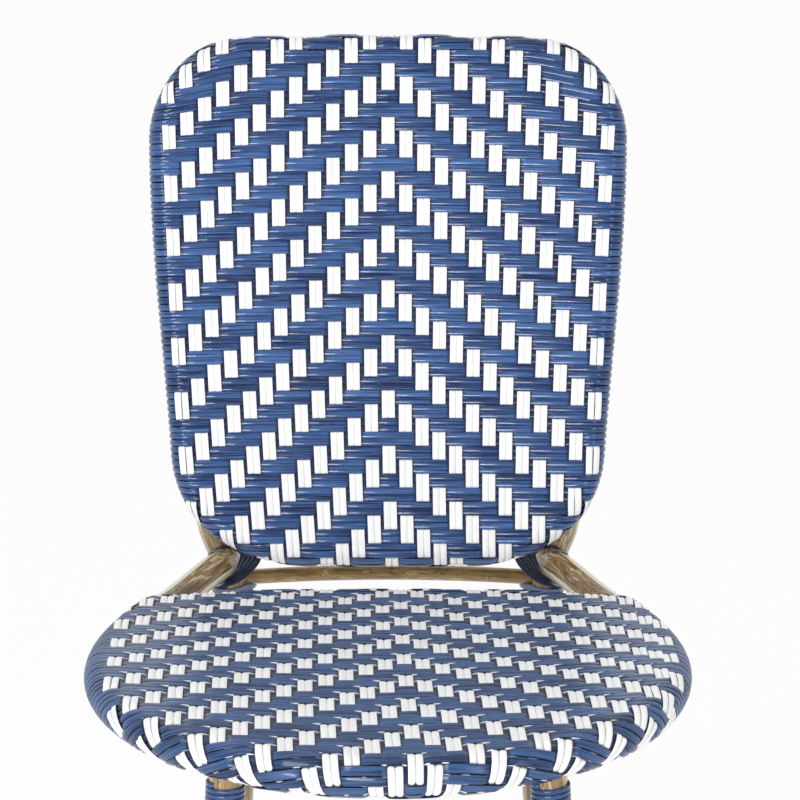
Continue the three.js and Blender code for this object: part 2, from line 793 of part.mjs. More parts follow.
addPiece('seat_tube', toGeometry(seatTube()), bamboo, metal);
addPiece('seat_rear_bar', toGeometry(seatRearBar()), bamboo, metal);
addPiece('seat_weave', toGeometry(seatWeave()), blue);
addPiece('rear_stretcher', toGeometry(cutBy(tube(rearBow, bowRadius, bowSteps), postCutters)), bamboo, metal);
addPiece('front_stretcher', toGeometry(cutBy(tube(frontBow, bowRadius, bowSteps), legCutters)), bamboo, metal);
addPiece('cross_rail', toGeometry(cutBy(tube(crossRail, railRadius, 1), railCutters)), bamboo, metal);

sides.forEach(({ side, flip, sign }) => {
    const leg = flip(rightLeg);
    const rearPost = flip(rightPost);
    addPiece(`${side}_rear_post`, toGeometry(post(side, flip, sign)), bamboo, metal);
    addPiece(`${side}_front_leg`, toGeometry(frontLeg(side, flip)), bamboo, metal);
    addPiece(`${side}_side_rail`, toGeometry(sideRail(flip)), bamboo, metal);
    addPiece(`${side}_post_cap`, toGeometry(postCap(rearPost)), nylon);
    addPiece(`${side}_front_glide`, toGeometry(glide(leg.getPointAt(1), leg.getTangentAt(1))), nylon);
    const down = rearPost.getTangentAt(0).negate();
    addPiece(`${side}_rear_glide`, toGeometry(glide(rearPost.getPointAt(0), down)), nylon);
    boltPlaces.forEach((spot, i) => {
        const level = i === 0 ? 'lower' : 'upper';
        addPiece(`${side}_${level}_panel_bolt`, toGeometry(bolt(sign, spot)), steel, shiny);
    });
});

lashings.forEach(({ name, geometry }) => addPiece(name, geometry, navy));

const backHoopGeometry = toGeometry(backHoop()).applyMatrix4(panelPlace);
const backWeaveGeometry = toGeometry(backWeave()).applyMatrix4(panelPlace);
addPiece('back_hoop', backHoopGeometry, bamboo, metal);
addPiece('back_weave', backWeaveGeometry, blue);

// The origin goes under the middle of the chair's outer box
const outer = new THREE.Box3().setFromObject(chair);
chair.position.y = -outer.getCenter(new THREE.Vector3()).y;

export default chair;
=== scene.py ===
# Rattan bistro chair: woven seat and back, bamboo look tubes, lashings and fittings
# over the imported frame. Lengths in the dictionaries are millimetres.
import json
import math
import random
from collections import namedtuple

import bmesh
import bpy
from mathutils import Matrix, Vector
from mathutils.geometry import interpolate_bezier, intersect_point_line
from mathutils.kdtree import KDTree

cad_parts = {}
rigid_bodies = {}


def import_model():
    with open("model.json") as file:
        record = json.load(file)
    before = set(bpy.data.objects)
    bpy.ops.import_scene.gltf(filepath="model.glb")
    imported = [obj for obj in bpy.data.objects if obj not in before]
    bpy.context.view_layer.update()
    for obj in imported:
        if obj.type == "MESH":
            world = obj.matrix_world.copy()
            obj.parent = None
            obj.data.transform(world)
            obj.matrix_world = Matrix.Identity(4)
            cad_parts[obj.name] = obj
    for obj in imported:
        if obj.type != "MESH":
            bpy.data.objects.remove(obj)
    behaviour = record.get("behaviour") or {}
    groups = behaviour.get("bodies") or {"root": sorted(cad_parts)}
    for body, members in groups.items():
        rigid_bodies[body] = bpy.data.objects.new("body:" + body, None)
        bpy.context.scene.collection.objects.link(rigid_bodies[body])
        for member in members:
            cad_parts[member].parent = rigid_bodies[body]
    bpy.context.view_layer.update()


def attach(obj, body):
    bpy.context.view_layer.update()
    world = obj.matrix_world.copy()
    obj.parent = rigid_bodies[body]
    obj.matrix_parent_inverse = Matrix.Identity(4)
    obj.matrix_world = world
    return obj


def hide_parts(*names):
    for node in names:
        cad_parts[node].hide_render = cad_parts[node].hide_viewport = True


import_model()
print("frame loaded")

mm = 0.001
rowShift = Vector((0, -88.678, 0))  # from the seat's own y to the chair's


def bezierLine(segments, steps):
    line = []
    for start, handleA, handleB, end in segments:
        line += interpolate_bezier(start, handleA, handleB, end, steps + 1)[:-1]
    return line + [segments[-1][3]]


def quarterHandles(start, corner, end, share):
    return start, start.lerp(corner, share), end.lerp(corner, share), end


# Leaves and arrives with given slopes of x over y
def slopedHandles(start, slopeA, end, slopeB, share):
    handle = share * (end.y - start.y)
    return start, start + Vector((slopeA * handle, handle)), end - Vector((slopeB * handle, handle)), end


def bowHandles(start, end, rise):
    top = start.lerp(end, 0.5) + Vector((0, 0, 2 * rise))
    return start, start.lerp(top, 2 / 3), end.lerp(top, 2 / 3), end


# A smooth line through its knots, with the steps of a centripetal spline
def knotLine(knots, steps):
    ends = [2 * knots[0] - knots[1], *knots, 2 * knots[-1] - knots[-2]]
    segments = []
    for i in range(len(knots) - 1):
        a, b, c, d = ends[i : i + 4]
        first, middle, last = [(q - p).length ** 0.5 for p, q in ((a, b), (b, c), (c, d))]
        tangentB = middle * ((b - a) / first - (c - a) / (first + middle) + (c - b) / middle)
        tangentC = middle * ((c - b) / middle - (d - b) / (middle + last) + (d - c) / last)
        segments.append((b, b + tangentB / 3, c - tangentC / 3, c))
    return bezierLine(segments, steps)


def smoothStep(value, low, high):
    share = min(max((value - low) / (high - low), 0), 1)
    return share * share * (3 - 2 * share)


def mirroredX(point):
    return Vector((-point.x, *point[1:]))


# How far along a line it crosses a height
def distanceAtHeight(points, height):
    travelled = 0.0
    for behind, ahead in zip(points, points[1:]):
        if (behind.z - height) * (ahead.z - height) <= 0:
            share = (height - behind.z) / (ahead.z - behind.z)
            return travelled + share * (ahead - behind).length
        travelled += (ahead - behind).length
    return travelled


def pointAtDistance(points, distance):
    for behind, ahead in zip(points, points[1:]):
        step = (ahead - behind).length
        if distance <= step:
            return behind.lerp(ahead, distance / step), (ahead - behind).normalized()
        distance -= step
    return points[-1], (points[-1] - points[-2]).normalized()


def pointAtHeight(points, height):
    return pointAtDistance(points, distanceAtHeight(points, height))[0]


# The points of a line, each with its direction and the length up to it
def walk(points):
    travelled = 0.0
    for i, point in enumerate(points):
        ahead, behind = points[min(i + 1, len(points) - 1)], points[max(i - 1, 0)]
        travelled += (point - behind).length if i else 0
        yield point, (ahead - behind).normalized(), travelled


# A ring of a sweep. Its marks say how far a strand is under, is wound round the rim, or has a bare front
# side; the strand materials paint shade where it is under, and the seat's material paints a highlight on a
# bare side
sweepRing = namedtuple("sweepRing", "point wide out travelled sunk wound bare", defaults=(0, 0, 0))
ringMarks = ("sunk", "wound", "bare")
templates = {}


# A cone of even width, cut into rings, is the start of every swept piece
def sweepTemplate(rings, sides):
    key = (rings, sides)
    if key not in templates:
        bm = bmesh.new()
        turn = Matrix.Rotation(math.pi / sides, 4, "Z")
        bmesh.ops.create_cone(bm, cap_ends=True, segments=sides, radius1=1, radius2=1, depth=1, matrix=turn)
        longEdges = [e for e in bm.edges if abs(e.verts[0].co.z - e.verts[1].co.z) > 0.5]
        bmesh.ops.subdivide_edges(bm, edges=longEdges, cuts=rings - 2, use_grid_fill=True)
        mesh = bpy.data.meshes.new("template")
        bm.to_mesh(mesh)
        bm.free()
        spots = [(round((v.co.z + 0.5) * (rings - 1)), v.co.x, v.co.y) for v in mesh.vertices]
        templates[key] = (mesh, spots)
    return templates[key]


def joinInto(piece, part):
    temp = bpy.data.meshes.new("temp")
    part.to_mesh(temp)
    part.free()
    piece.from_mesh(temp)
    bpy.data.meshes.remove(temp)


# place and grain turn a ring and a spot on the unit circle into a point and its grain values
def addSweep(piece, rings, sides, place, grain):
    mesh, spots = sweepTemplate(len(rings), sides)
    part = bmesh.new()
    part.from_mesh(mesh)
    grainLayer = part.verts.layers.float_vector.new("grain")
    layers = [part.verts.layers.float.new(label) for label in ringMarks]
    for vert, (index, across, up) in zip(part.verts, spots):
        ring = rings[index]
        vert.co = place(ring, across, up) * mm
        vert[grainLayer] = grain(ring, across, up)
        for layer, label in zip(layers, ringMarks):
            vert[layer] = getattr(ring, label)
    for face in part.faces:
        face.smooth = len(face.verts) == 4
    joinInto(piece, part)


def newPiece():
    piece = bmesh.new()
    piece.verts.layers.float_vector.new("grain")
    for label in ringMarks:
        piece.verts.layers.float.new(label)
    return piece


def finishPiece(piece, name, material, replaced):
    bmesh.ops.recalc_face_normals(piece, faces=piece.faces)
    mesh = bpy.data.meshes.new(name)
    piece.to_mesh(mesh)
    piece.free()
    mesh.materials.append(material)
    made = bpy.data.objects.new(name, mesh)
    bpy.context.scene.collection.objects.link(made)
    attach(made, "root")
    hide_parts(*replaced)
    print(name, len(mesh.polygons), "faces")


def paint(red, green, blue):
    def linear(value):
        share = value / 255
        return share / 12.92 if share <= 0.04045 else ((share + 0.055) / 1.055) ** 2.4

    return (linear(red), linear(green), linear(blue), 1)


def newMaterial(name):
    material = bpy.data.materials.new(name)
    material.use_nodes = True
    tree = material.node_tree
    return material, tree, tree.nodes["Principled BSDF"]


# Each of a node's inputs takes a value, or is joined to another node's output
def feed(tree, node, given):
    for key, value in given.items():
        if isinstance(value, bpy.types.NodeSocket):
            tree.links.new(value, node.inputs[key])
        else:
            node.inputs[key].default_value = value


def addNode(tree, kind, given={}, **settings):
    node = tree.nodes.new(kind)
    for key, value in settings.items():
        setattr(node, key, value)
    feed(tree, node, given)
    return node


def ramp(tree, source, stops):
    node = addNode(tree, "ShaderNodeValToRGB", {"Fac": source})
    elements = node.color_ramp.elements
    while len(elements) < len(stops):
        elements.new(0.5)
    for element, (position, color) in zip(elements, stops):
        element.position = position
        element.color = color
    return node.outputs["Color"]


# Stops are pairs of position and level
def mask(tree, source, *stops):
    return ramp(tree, source, [(position, (level, level, level, 1)) for position, level in stops])


def maths(tree, operation, *values):
    return addNode(tree, "ShaderNodeMath", dict(enumerate(values)), operation=operation).outputs[0]


def mixColor(tree, factor, first, second):
    return addNode(tree, "ShaderNodeMix", {0: factor, 6: first, 7: second}, data_type="RGBA").outputs[2]


# Lays a tint over a colour where the source's mask is
def layOver(tree, color, tint, source, stops, strength=1.0):
    layer = maths(tree, "MULTIPLY", mask(tree, source, *stops), strength)
    return mixColor(tree, layer, color, tint)


def rangeOf(tree, source, low, high):
    return addNode(tree, "ShaderNodeMapRange", {"Value": source, "To Min": low, "To Max": high}).outputs[0]


def bumpOf(tree, height, strength, distance):
    given = {"Strength": strength, "Distance": distance, "Height": height}
    return addNode(tree, "ShaderNodeBump", given).outputs[0]


def noiseOf(tree, place, scale, detail, distortion=0.0):
    given = {"Vector": place, "Scale": scale, "Detail": detail, "Distortion": distortion}
    return addNode(tree, "ShaderNodeTexNoise", given).outputs[0]


def stretchedNoise(tree, x, y, z, detail, distortion=0.0):
    joined = addNode(tree, "ShaderNodeCombineXYZ", {0: x, 1: y, 2: z}).outputs[0]
    return noiseOf(tree, joined, 1.0, detail, distortion)


def attributeOf(tree, name, output="Fac"):
    return addNode(tree, "ShaderNodeAttribute", attribute_name=name).outputs[output]


# Grain is kept in three parts: across, a tone or a second way across, and length, in mm
def grainParts(tree):
    return addNode(tree, "ShaderNodeSeparateXYZ", {0: attributeOf(tree, "grain", "Vector")}).outputs


def newGroup(name, inputs, outputs):
    group = bpy.data.node_groups.new(name, "ShaderNodeTree")
    for label, default in inputs.items():
        socket = group.interface.new_socket(name=label, in_out="INPUT", socket_type="NodeSocketFloat")
        socket.default_value = default
    for label in outputs:
        group.interface.new_socket(name=label, in_out="OUTPUT", socket_type="NodeSocketFloat")
    given, out = addNode(group, "NodeGroupInput"), addNode(group, "NodeGroupOutput")
    return group, given.outputs, out, grainParts(group)


# Extruded strand: lengthwise ridges and threads, a tone of its own, its two narrow sides, and its ring marks
def strandGroup():
    group, given, out, (x, y, z) = newGroup(
        "strandGrain", {"Across": 3.0, "Along": 0.03, "Tone": 0.2},
        ("Ridges", "Threads", "Shade", "Side", "Outer", "Sunk", "Wound", "Bare"))
    across = maths(group, "MULTIPLY", x, given["Across"])
    along = maths(group, "MULTIPLY", z, given["Along"])
    finer, longer = maths(group, "MULTIPLY", across, 3.3), maths(group, "MULTIPLY", along, 0.6)
    tone = addNode(group, "ShaderNodeTexWhiteNoise", {"W": y}, noise_dimensions="1D")
    marks = {label.capitalize(): attributeOf(group, label) for label in ringMarks}
    narrower = maths(group, "MULTIPLY", marks["Wound"], 0.13)
    feed(group, out, {
        "Ridges": stretchedNoise(group, across, y, along, 2.0),
        "Threads": stretchedNoise(group, finer, y, longer, 1.0),
        "Shade": maths(group, "MULTIPLY", tone.outputs["Value"], given["Tone"]),
        "Side": maths(group, "ADD", maths(group, "ABSOLUTE", x), narrower), "Outer": x, **marks})
    return group


# Painted bamboo look: a wavy pale figure, thin lengthwise lines, fine streaks, and a wavering side mask that
# places the painted reflection bands
def bambooGroup():
    group, given, out, (x, y, z) = newGroup(
        "bambooGrain", {"Wave": 1.6, "Lines": 2.2}, ("Figure", "Lines", "Streaks", "Side"))

    def stretched(widthways, lengthways, detail, distortion=0.0):
        scales = (widthways, widthways, lengthways)
        parts = [maths(group, "MULTIPLY", part, scale) for part, scale in zip((x, y, z), scales)]
        return stretchedNoise(group, *parts, detail, distortion)

    field = stretched(given["Lines"], 0.009, 1.5, 0.3)
    waver = maths(group, "MULTIPLY", maths(group, "SUBTRACT", stretched(0.6, 0.04, 2.0), 0.5), 0.16)
    feed(group, out, {
        "Figure": stretched(given["Wave"], 0.03, 3.0, 1.4),
        "Lines": maths(group, "PINGPONG", maths(group, "MULTIPLY", field, 9.0), 0.5),
        "Streaks": stretched(16.0, 0.04, 2.0),
        "Side": maths(group, "ADD", maths(group, "ABSOLUTE", x), waver)})
    return group


strandGrain = strandGroup()
bambooGrain = bambooGroup()
strandLook = {
    "across": 2.6, "along": 0.03, "tone": 0.3, "low": 0.42, "high": 0.86, "threads": 0.8, "bump": 0.5,
    "rough": 0.4, "gloss": 0.2, "coat": 0.85, "edge": 0.955, "under": 0.78, "paleSide": False,
}


def strandMaterial(name, colors, **changes):
    look = {**strandLook, **changes}
    material, tree, shader = newMaterial(name)
    given = {"Across": look["across"], "Along": look["along"], "Tone": look["tone"]}
    grain = addNode(tree, "ShaderNodeGroup", given, node_tree=strandGrain).outputs
    mixed = maths(tree, "ADD", grain["Ridges"], grain["Shade"])
    color = ramp(tree, mixed, [(look["low"], colors["dark"]), (look["high"], colors["light"])])
    color = layOver(tree, color, colors["thread"], grain["Threads"], [(0.3, 1), (0.42, 0)], look["threads"])
    # Painted shade: where a strand dips beneath the strands that cross it, it takes the darker under colour
    under, edge = look["under"], look["edge"]
    color = layOver(tree, color, colors["under"], grain["Sunk"], [(under, 0), (under + 0.2, 1)], 0.8)
    # The narrow sides take the side colour: painted shade in the grooves between strands where it is dark, a
    # painted highlight where it is pale
    side = colors["side"]
    # Where a side is bare it gets the pale side colour, a painted highlight; a covered side gets the under
    # colour, painted shade
    if look["paleSide"]:
        bare = mask(tree, grain["Bare"], (0.5, 0), (0.64, 1))
        bare = maths(tree, "MULTIPLY", bare, maths(tree, "SUBTRACT", 1.0, grain["Wound"]))
        side = mixColor(tree, bare, colors["under"], colors["side"])
    color = layOver(tree, color, side, grain["Side"], [(edge, 0), (edge + 0.03, 1)])
    # Painted shade: a dark line along the outer edges of each pair of warps
    if "outer" in colors:
        color = layOver(tree, color, colors["outer"], grain["Outer"], [(0.78, 0), (0.84, 1)])
    height = maths(tree, "ADD", grain["Ridges"], maths(tree, "MULTIPLY", grain["Threads"], 0.35))
    feed(tree, shader, {
        "Base Color": color,
        "Roughness": rangeOf(tree, grain["Ridges"], look["rough"] - 0.06, look["rough"] + 0.1),
        "Specular IOR Level": look["gloss"], "Coat Weight": look["coat"], "Coat Roughness": 0.12,
        "Normal": bumpOf(tree, height, look["bump"], 0.0003)})
    return material


# Back blue: the dark side colour is painted shade between strands, and the under colour is painted shade
# where a strand dips
backBlue = strandMaterial("backBlueStrand", {
    "dark": paint(0, 28, 78), "light": paint(70, 110, 170), "thread": paint(0, 14, 52),
    "side": paint(0, 10, 38), "under": paint(0, 18, 58)})
# Seat blue: the near-white side colour is a painted highlight on bare strand sides; the under colour is
# painted shade where a strand dips and on covered sides
seatBlue = strandMaterial("seatBlueStrand", {
    "dark": paint(10, 34, 74), "light": paint(66, 102, 152), "thread": paint(4, 18, 48),
    "side": paint(250, 251, 252), "under": paint(4, 16, 46)}, coat=0.5, edge=0.94, paleSide=True)
# White: the grey side colour is painted shade in the seam between a pair's two strands, the dark outer colour
# is painted shade beside the pair, and the under colour is painted shade where a strand dips
whiteStrand = strandMaterial("whiteStrand", {
    "dark": paint(242, 242, 241), "light": paint(253, 253, 252), "thread": paint(218, 219, 221),
    "side": paint(214, 217, 222), "outer": paint(24, 40, 84), "under": paint(30, 46, 90)},
    across=2.2, along=0.02, tone=0.15, low=0.3, high=0.7, threads=0.3,
    bump=0.35, rough=0.42, gloss=0.3, coat=0.2, under=0.66)
# Sling: the pale side colour is a painted highlight along the strand's narrow sides
slingStrand = strandMaterial("slingStrand", {
    "dark": paint(2, 6, 20), "light": paint(18, 32, 68), "thread": paint(2, 4, 14),
    "side": paint(186, 192, 206), "under": paint(4, 8, 22)}, coat=0.35, edge=0.96)
# Cuff: the grey-blue body is the strand's colour lightened by a painted reflection, and the darker side
# colour is painted shade between turns
cuffStrand = strandMaterial("cuffStrand", {
    "dark": paint(66, 82, 120), "light": paint(122, 132, 162), "thread": paint(44, 60, 100),
    "side": paint(30, 44, 84), "under": paint(30, 44, 84)}, coat=0.6)

# What lies over the bamboo's figure, in order: where it is, how strong, and its colour. The cream band along
# each side and the dark line beside it are a painted reflection, weakened by a paint's own edges value
bambooLayers = [
    ("Streaks", ((0.38, 1), (0.55, 0)), 0.45, "dark"),
    ("Figure", ((0.545, 0), (0.558, 1), (0.57, 1), (0.58, 0)), 0.8, "line"),
    ("Lines", ((0.03, 1), (0.06, 0)), 0.8, "line"),
    # Painted reflection: a cream band along each side, with its dark line beside it
    ("Side", ((0.69, 0), (0.72, 1)), 0.85, "cream"),
    ("Side", ((0.61, 0), (0.64, 1), (0.69, 1), (0.7, 0)), 1.0, "line"),
]


def bambooMaterial(name, colors, edges):
    material, tree, shader = newMaterial(name)
    grain = addNode(tree, "ShaderNodeGroup", node_tree=bambooGrain).outputs
    color = ramp(tree, grain["Figure"], [
        (0.36, colors["dark"]), (0.47, colors["middle"]), (0.55, colors["middle"]), (0.575, colors["pale"])])
    for label, stops, strength, tint in bambooLayers:
        strength *= edges if label == "Side" else 1
        color = layOver(tree, color, colors[tint], grain[label], stops, strength)
    feed(tree, shader, {
        "Base Color": color, "Roughness": rangeOf(tree, grain["Streaks"], 0.3, 0.42),
        "Specular IOR Level": 0.3, "Coat Weight": 1.0, "Coat Roughness": 0.08, "Coat IOR": 1.6,
        "Normal": bumpOf(tree, grain["Streaks"], 0.12, 0.0004)})
    return material


# cream is the colour of the painted reflection bands; the last value weakens them, as on the legs
bambooColors = {"dark": paint(116, 90, 50), "middle": paint(158, 130, 84), "pale": paint(214, 194, 150),
                "line": paint(66, 46, 20), "cream": paint(222, 208, 174)}
bambooPaint = bambooMaterial("bambooPaint", bambooColors, 1.0)
legPaint = bambooMaterial("legPaint", bambooColors, 0.35)
# Its cream is the colour of the painted reflection bands too
goldenPaint = bambooMaterial("goldenPaint", {
    "dark": paint(126, 94, 38), "middle": paint(164, 132, 70), "pale": paint(198, 168, 104),
    "line": paint(76, 52, 18), "cream": paint(190, 160, 98)}, 1.0)


# Flecks on the object's own coordinates, for what has no grain along it
def fleckedMaterial(name, scale, detail, colors, rough, bump):
    material, tree, shader = newMaterial(name)
    noise = noiseOf(tree, addNode(tree, "ShaderNodeTexCoord").outputs["Object"], scale, detail)
    feed(tree, shader, {
        "Base Color": ramp(tree, noise, list(zip((0.35, 0.65), colors))),
        "Roughness": rangeOf(tree, noise, *rough)})
    if bump:
        feed(tree, shader, {"Normal": bumpOf(tree, noise, bump, 0.0002)})
    return material


def steelMaterial():
    material, tree, shader = newMaterial("boltSteel")
    parts = [maths(tree, "MULTIPLY", part, scale) for part, scale in zip(grainParts(tree), (9.0, 9.0, 0.5))]
    brushed = stretchedNoise(tree, *parts, 2.0)
    feed(tree, shader, {
        "Base Color": ramp(tree, brushed, [(0.3, paint(176, 172, 164)), (0.7, paint(206, 203, 196))]),
        "Metallic": 1.0, "Roughness": rangeOf(tree, brushed, 0.22, 0.4),
        "Normal": bumpOf(tree, brushed, 0.1, 0.0002)})
    return material


brownNylon = fleckedMaterial(
    "brownNylon", 900.0, 2.0, (paint(78, 62, 44), paint(100, 82, 60)), (0.45, 0.6), 0.2)
hoopPaint = fleckedMaterial(
    "hoopPaint", 60.0, 3.0, (paint(124, 104, 70), paint(176, 156, 120)), (0.3, 0.42), 0)
boltSteel = steelMaterial()
print("materials made")


def makeRim(segments, steps=160):
    right = bezierLine(segments, steps)
    ring = right + [mirroredX(p) for p in reversed(right[1:-1])]
    tree = KDTree(len(ring))
    normals = []
    for i, spot in enumerate(ring):
        tree.insert(spot.to_3d(), i)
        along = ring[(i + 1) % len(ring)] - ring[i - 1]
        normals.append(Vector((along.y, -along.x)).normalized())
    tree.balance()
    return {"tree": tree, "normals": normals}


# How far a spot lies past the rim, with the rim's nearest spot and the normal there
def rimDistance(rim, spot):
    near, index, gap = rim["tree"].find(spot.to_3d())
    near, normal = near.to_2d(), rim["normals"][index]
    tangent = Vector((-normal.y, normal.x))
    near = near + tangent * (spot - near).dot(tangent)
    return (spot - near).dot(normal), near, normal


# A spot on the flat pattern goes on the sheet, or round the rim's tube when it lies past the rim
def wrapPoint(sheet, spot):
    past, near, normal = rimDistance(sheet["rim"], spot)
    base, out = sheet["axis"](near if past > 0 else spot)
    if past > 0:
        turn = past / sheet["radius"]
        out = sheet["edge"](normal) * math.sin(turn) + out * math.cos(turn)
    return base + out * sheet["radius"], out, past, normal


# Pairs are ranges over which something grows: by a strand's lift, by how far it is past the rim,
# or by how squarely it meets the rim
weaveValues = {
    "turnLimit": 3.6, "reach": 68, "endStep": 4.0, "endLift": 0.35, "jitter": 0.04,
    "weftLift": 0.7, "warpLift": 0.66, "rise": 0.1, "rimClear": 0.7,
    "bareLift": (0.1, 0.34), "sunkLift": (0, 0.7), "clearLift": (0, 0.4), "clearPast": (-7, 3),
    "clearSquare": (0.35, 0.9), "woundPast": (-4, 8), "woundSquare": (0.35, 0.8),
}


# 2/2 twill that turns back at the middle column
def warpIsUp(column, unit):
    return (unit - abs(column)) % 4 in (0, 3)


# Marks of place and lift along a strand, at each crossing and where it turns between two of them
def crossings(states, centres, turns, lift):
    marks = []
    for i, (state, centre) in enumerate(zip(states, centres)):
        marks.append((centre, state * lift))
        if i + 1 < len(states):
            step = centres[i + 1] - centre
            middle = centre + step / 2
            if states[i + 1] == state:
                marks.append((middle, state * (lift + weaveValues["rise"])))
            else:
                marks += [(middle - share * step, state * lift * part) for share, part in turns]
                marks += [(middle + share * step, -state * lift * part) for share, part in reversed(turns)]
    return marks


# The lift between two marks of a strand
def liftAt(marks, x):
    for (first, low), (second, high) in zip(marks, marks[1:]):
        if min(first, second) <= x <= max(first, second):
            return low + (high - low) * (x - first) / (second - first)
    return 1


# A side is bare where the strand in front dips, between the strands that cross it; the seat's material paints
# a highlight on such a side
def bareShare(marks, centres, x):
    gap = min(abs(x - centre) for centre in centres) / abs(centres[1] - centres[0])
    return (1 - smoothStep(liftAt(marks, x), *weaveValues["bareLift"])) * min(1, 2 * gap)


# A row goes on past its outer crossings, as far as it can reach round the rim
def extended(marks):
    first, last, lift = marks[0][0], marks[-1][0], weaveValues["endLift"]
    way = math.copysign(weaveValues["endStep"], last - first)
    count = int(weaveValues["reach"] / weaveValues["endStep"])
    before = [(first - way * k, lift) for k in range(count, 0, -1)]
    return before + marks + [(last + way * k, lift) for k in range(1, count + 1)]


# Spots are (spot on the flat pattern, lift, bare); those too far round the rim are left out
def strandRings(sheet, spots, jitter):
    v = weaveValues
    places = [wrapPoint(sheet, spot) for spot, lift, bare in spots]
    kept = [i for i, place in enumerate(places) if place[2] < sheet["radius"] * v["turnLimit"]]
    if not kept:
        return []
    middle = len(spots) // 2
    low = high = middle if middle in kept else kept[len(kept) // 2]
    while low - 1 in kept:
        low -= 1
    while high + 1 in kept:
        high += 1
    if high - low < 3:
        return []
    places, spots = places[low : high + 1], spots[low : high + 1]
    course = (spots[-1][0] - spots[0][0]).normalized()
    squares = [abs(course.dot(place[3])) for place in places]
    points = []
    for (point, out, past, normal), (spot, lift, bare), square in zip(places, spots, squares):
        # Where it lies over strands that are wound round the rim, it stands clear of them
        crossed = smoothStep(past, *v["clearPast"]) * (1 - smoothStep(square, *v["clearSquare"]))
        clear = v["rimClear"] * crossed * smoothStep(lift, *v["clearLift"])
        points.append(point + out * (lift + jitter + clear))
    rings = []
    for step, place, (spot, lift, bare), square in zip(walk(points), places, spots, squares):
        point, along, travelled = step
        wide = along.cross(place[1]).normalized()
        wound = smoothStep(place[2], *v["woundPast"]) * smoothStep(square, *v["woundSquare"])
        sunk = 1 - smoothStep(lift, *v["sunkLift"])
        rings.append(sweepRing(point, wide, wide.cross(along), travelled, sunk, wound, bare))
    return rings


# Eight corners: a flat face with rounded shoulders, fuller where the strand is wound round the rim
def addStrand(piece, rings, shape, tone, outward=1):
    def corner(ring, across, up):
        if abs(across) < 0.5:
            shoulder = shape["shoulder"] * (1 - 0.35 * ring.wound)
            return math.copysign(shoulder, across), math.copysign(1 + shape["bulge"] * ring.wound, up)
        return math.copysign(1, across), math.copysign(shape["side"] * (1 - 0.7 * ring.wound), up)

    def place(ring, across, up):
        across, up = corner(ring, across, up)
        aside = ring.wide * (across * shape["width"] / 2)
        return ring.point + aside + ring.out * (up * shape["thickness"] / 2)

    def grain(ring, across, up):
        return Vector((outward * corner(ring, across, up)[0], tone, ring.travelled))

    addSweep(piece, rings, 8, place, grain)


def layStrand(piece, sheet, spots, shape, dice, outward=1):
    rings = strandRings(sheet, spots, dice.uniform(-weaveValues["jitter"], weaveValues["jitter"]))
    if rings:
        addStrand(piece, rings, shape, dice.uniform(0, 100), outward)


def weaveSheet(sheet):
    dice = random.Random(sheet["seed"])
    wefts, warps = newPiece(), newPiece()
    columnAt, rowAt = sheet["columnAt"], sheet["rowAt"]
    columns = range(-sheet["columns"], sheet["columns"] + 1)
    units = range(sheet["firstUnit"], sheet["lastUnit"] + 1)

    def rowPoint(x, unit):
        clamped = max(min(x, sheet["rimHalf"]), -sheet["rimHalf"])
        return rowAt(unit + 0.5 + sheet["bend"](clamped, unit + 0.5))

    rows, crossed = {}, {}
    for unit in range(units[0], units[-1] + 2):
        states = [-1 if warpIsUp(column, unit) else 1 for column in columns]
        crossed[unit] = []
        for column in columns:
            x = columnAt(column, rowPoint(0, unit))
            crossed[unit].append(columnAt(column, rowPoint(x, unit)))
        rows[unit] = extended(crossings(states, crossed[unit], sheet["weftTurns"], weaveValues["weftLift"]))
    for unit in units:
        pitch = abs(rowAt(unit + 1) - rowAt(unit))
        shape = dict(sheet["weft"], width=pitch / 2 * sheet["weft"]["fill"])
        for offset in (-pitch / 4, pitch / 4):
            spots = []
            for x, lift in rows[unit]:
                bare = bareShare(rows[unit + 1], crossed[unit + 1], x) if offset < 0 else 0
                spots.append((Vector((x, rowPoint(x, unit) + offset)), lift, bare))
            layStrand(wefts, sheet, spots, shape, dice)
    for column in columns:
        states = [1 if warpIsUp(column, unit) else -1 for unit in units]
        centres = []
        for unit in units:
            v = rowAt(unit + 0.5)
            for _ in range(2):
                v = rowPoint(columnAt(column, v), unit)
            centres.append(v)
        marks = crossings(states, centres, sheet["warpTurns"], weaveValues["warpLift"])
        for offset in (-sheet["warpPitch"] / 2, sheet["warpPitch"] / 2):
            spots = [(Vector((columnAt(column, v) + offset, v)), lift, 0) for v, lift in marks]
            layStrand(warps, sheet, spots, sheet["warp"], dice, -math.copysign(1, offset))
    return wefts, warps


# Back panel, drawn flat: x across, y up along the panel
backValues = {
    "half": 180.2, "waistHalf": 162.7, "waistHeight": 92, "widestHeight": 344,
    "topZ": 418.2, "bottomZ": 12.8, "topFlat": 118, "bottomFlat": 62, "topCrown": 2, "bottomCrown": 1,
    "recline": math.radians(13), "footY": 257, "footZ": 449, "bow": 10, "bowHalf": 193,
}
backGrid = {
    "firstRow": 396.166, "rowStep": 10.84451, "rowGrowth": 0.00706,
    "columnStep": 13.15, "columnGrowth": 0.0042, "footShift": 3.2, "leftShift": 3.1, "rightShift": 2.6,
    "sideBend": 0.25, "cornerBend": 0.95,
}


def hoopSide(v):
    waist = Vector((v["waistHalf"], v["waistHeight"]))
    widest = Vector((v["half"], v["widestHeight"]))
    slope = (widest.x - waist.x) / (widest.y - waist.y)
    return slopedHandles(waist, slope, widest, 0, 0.33)


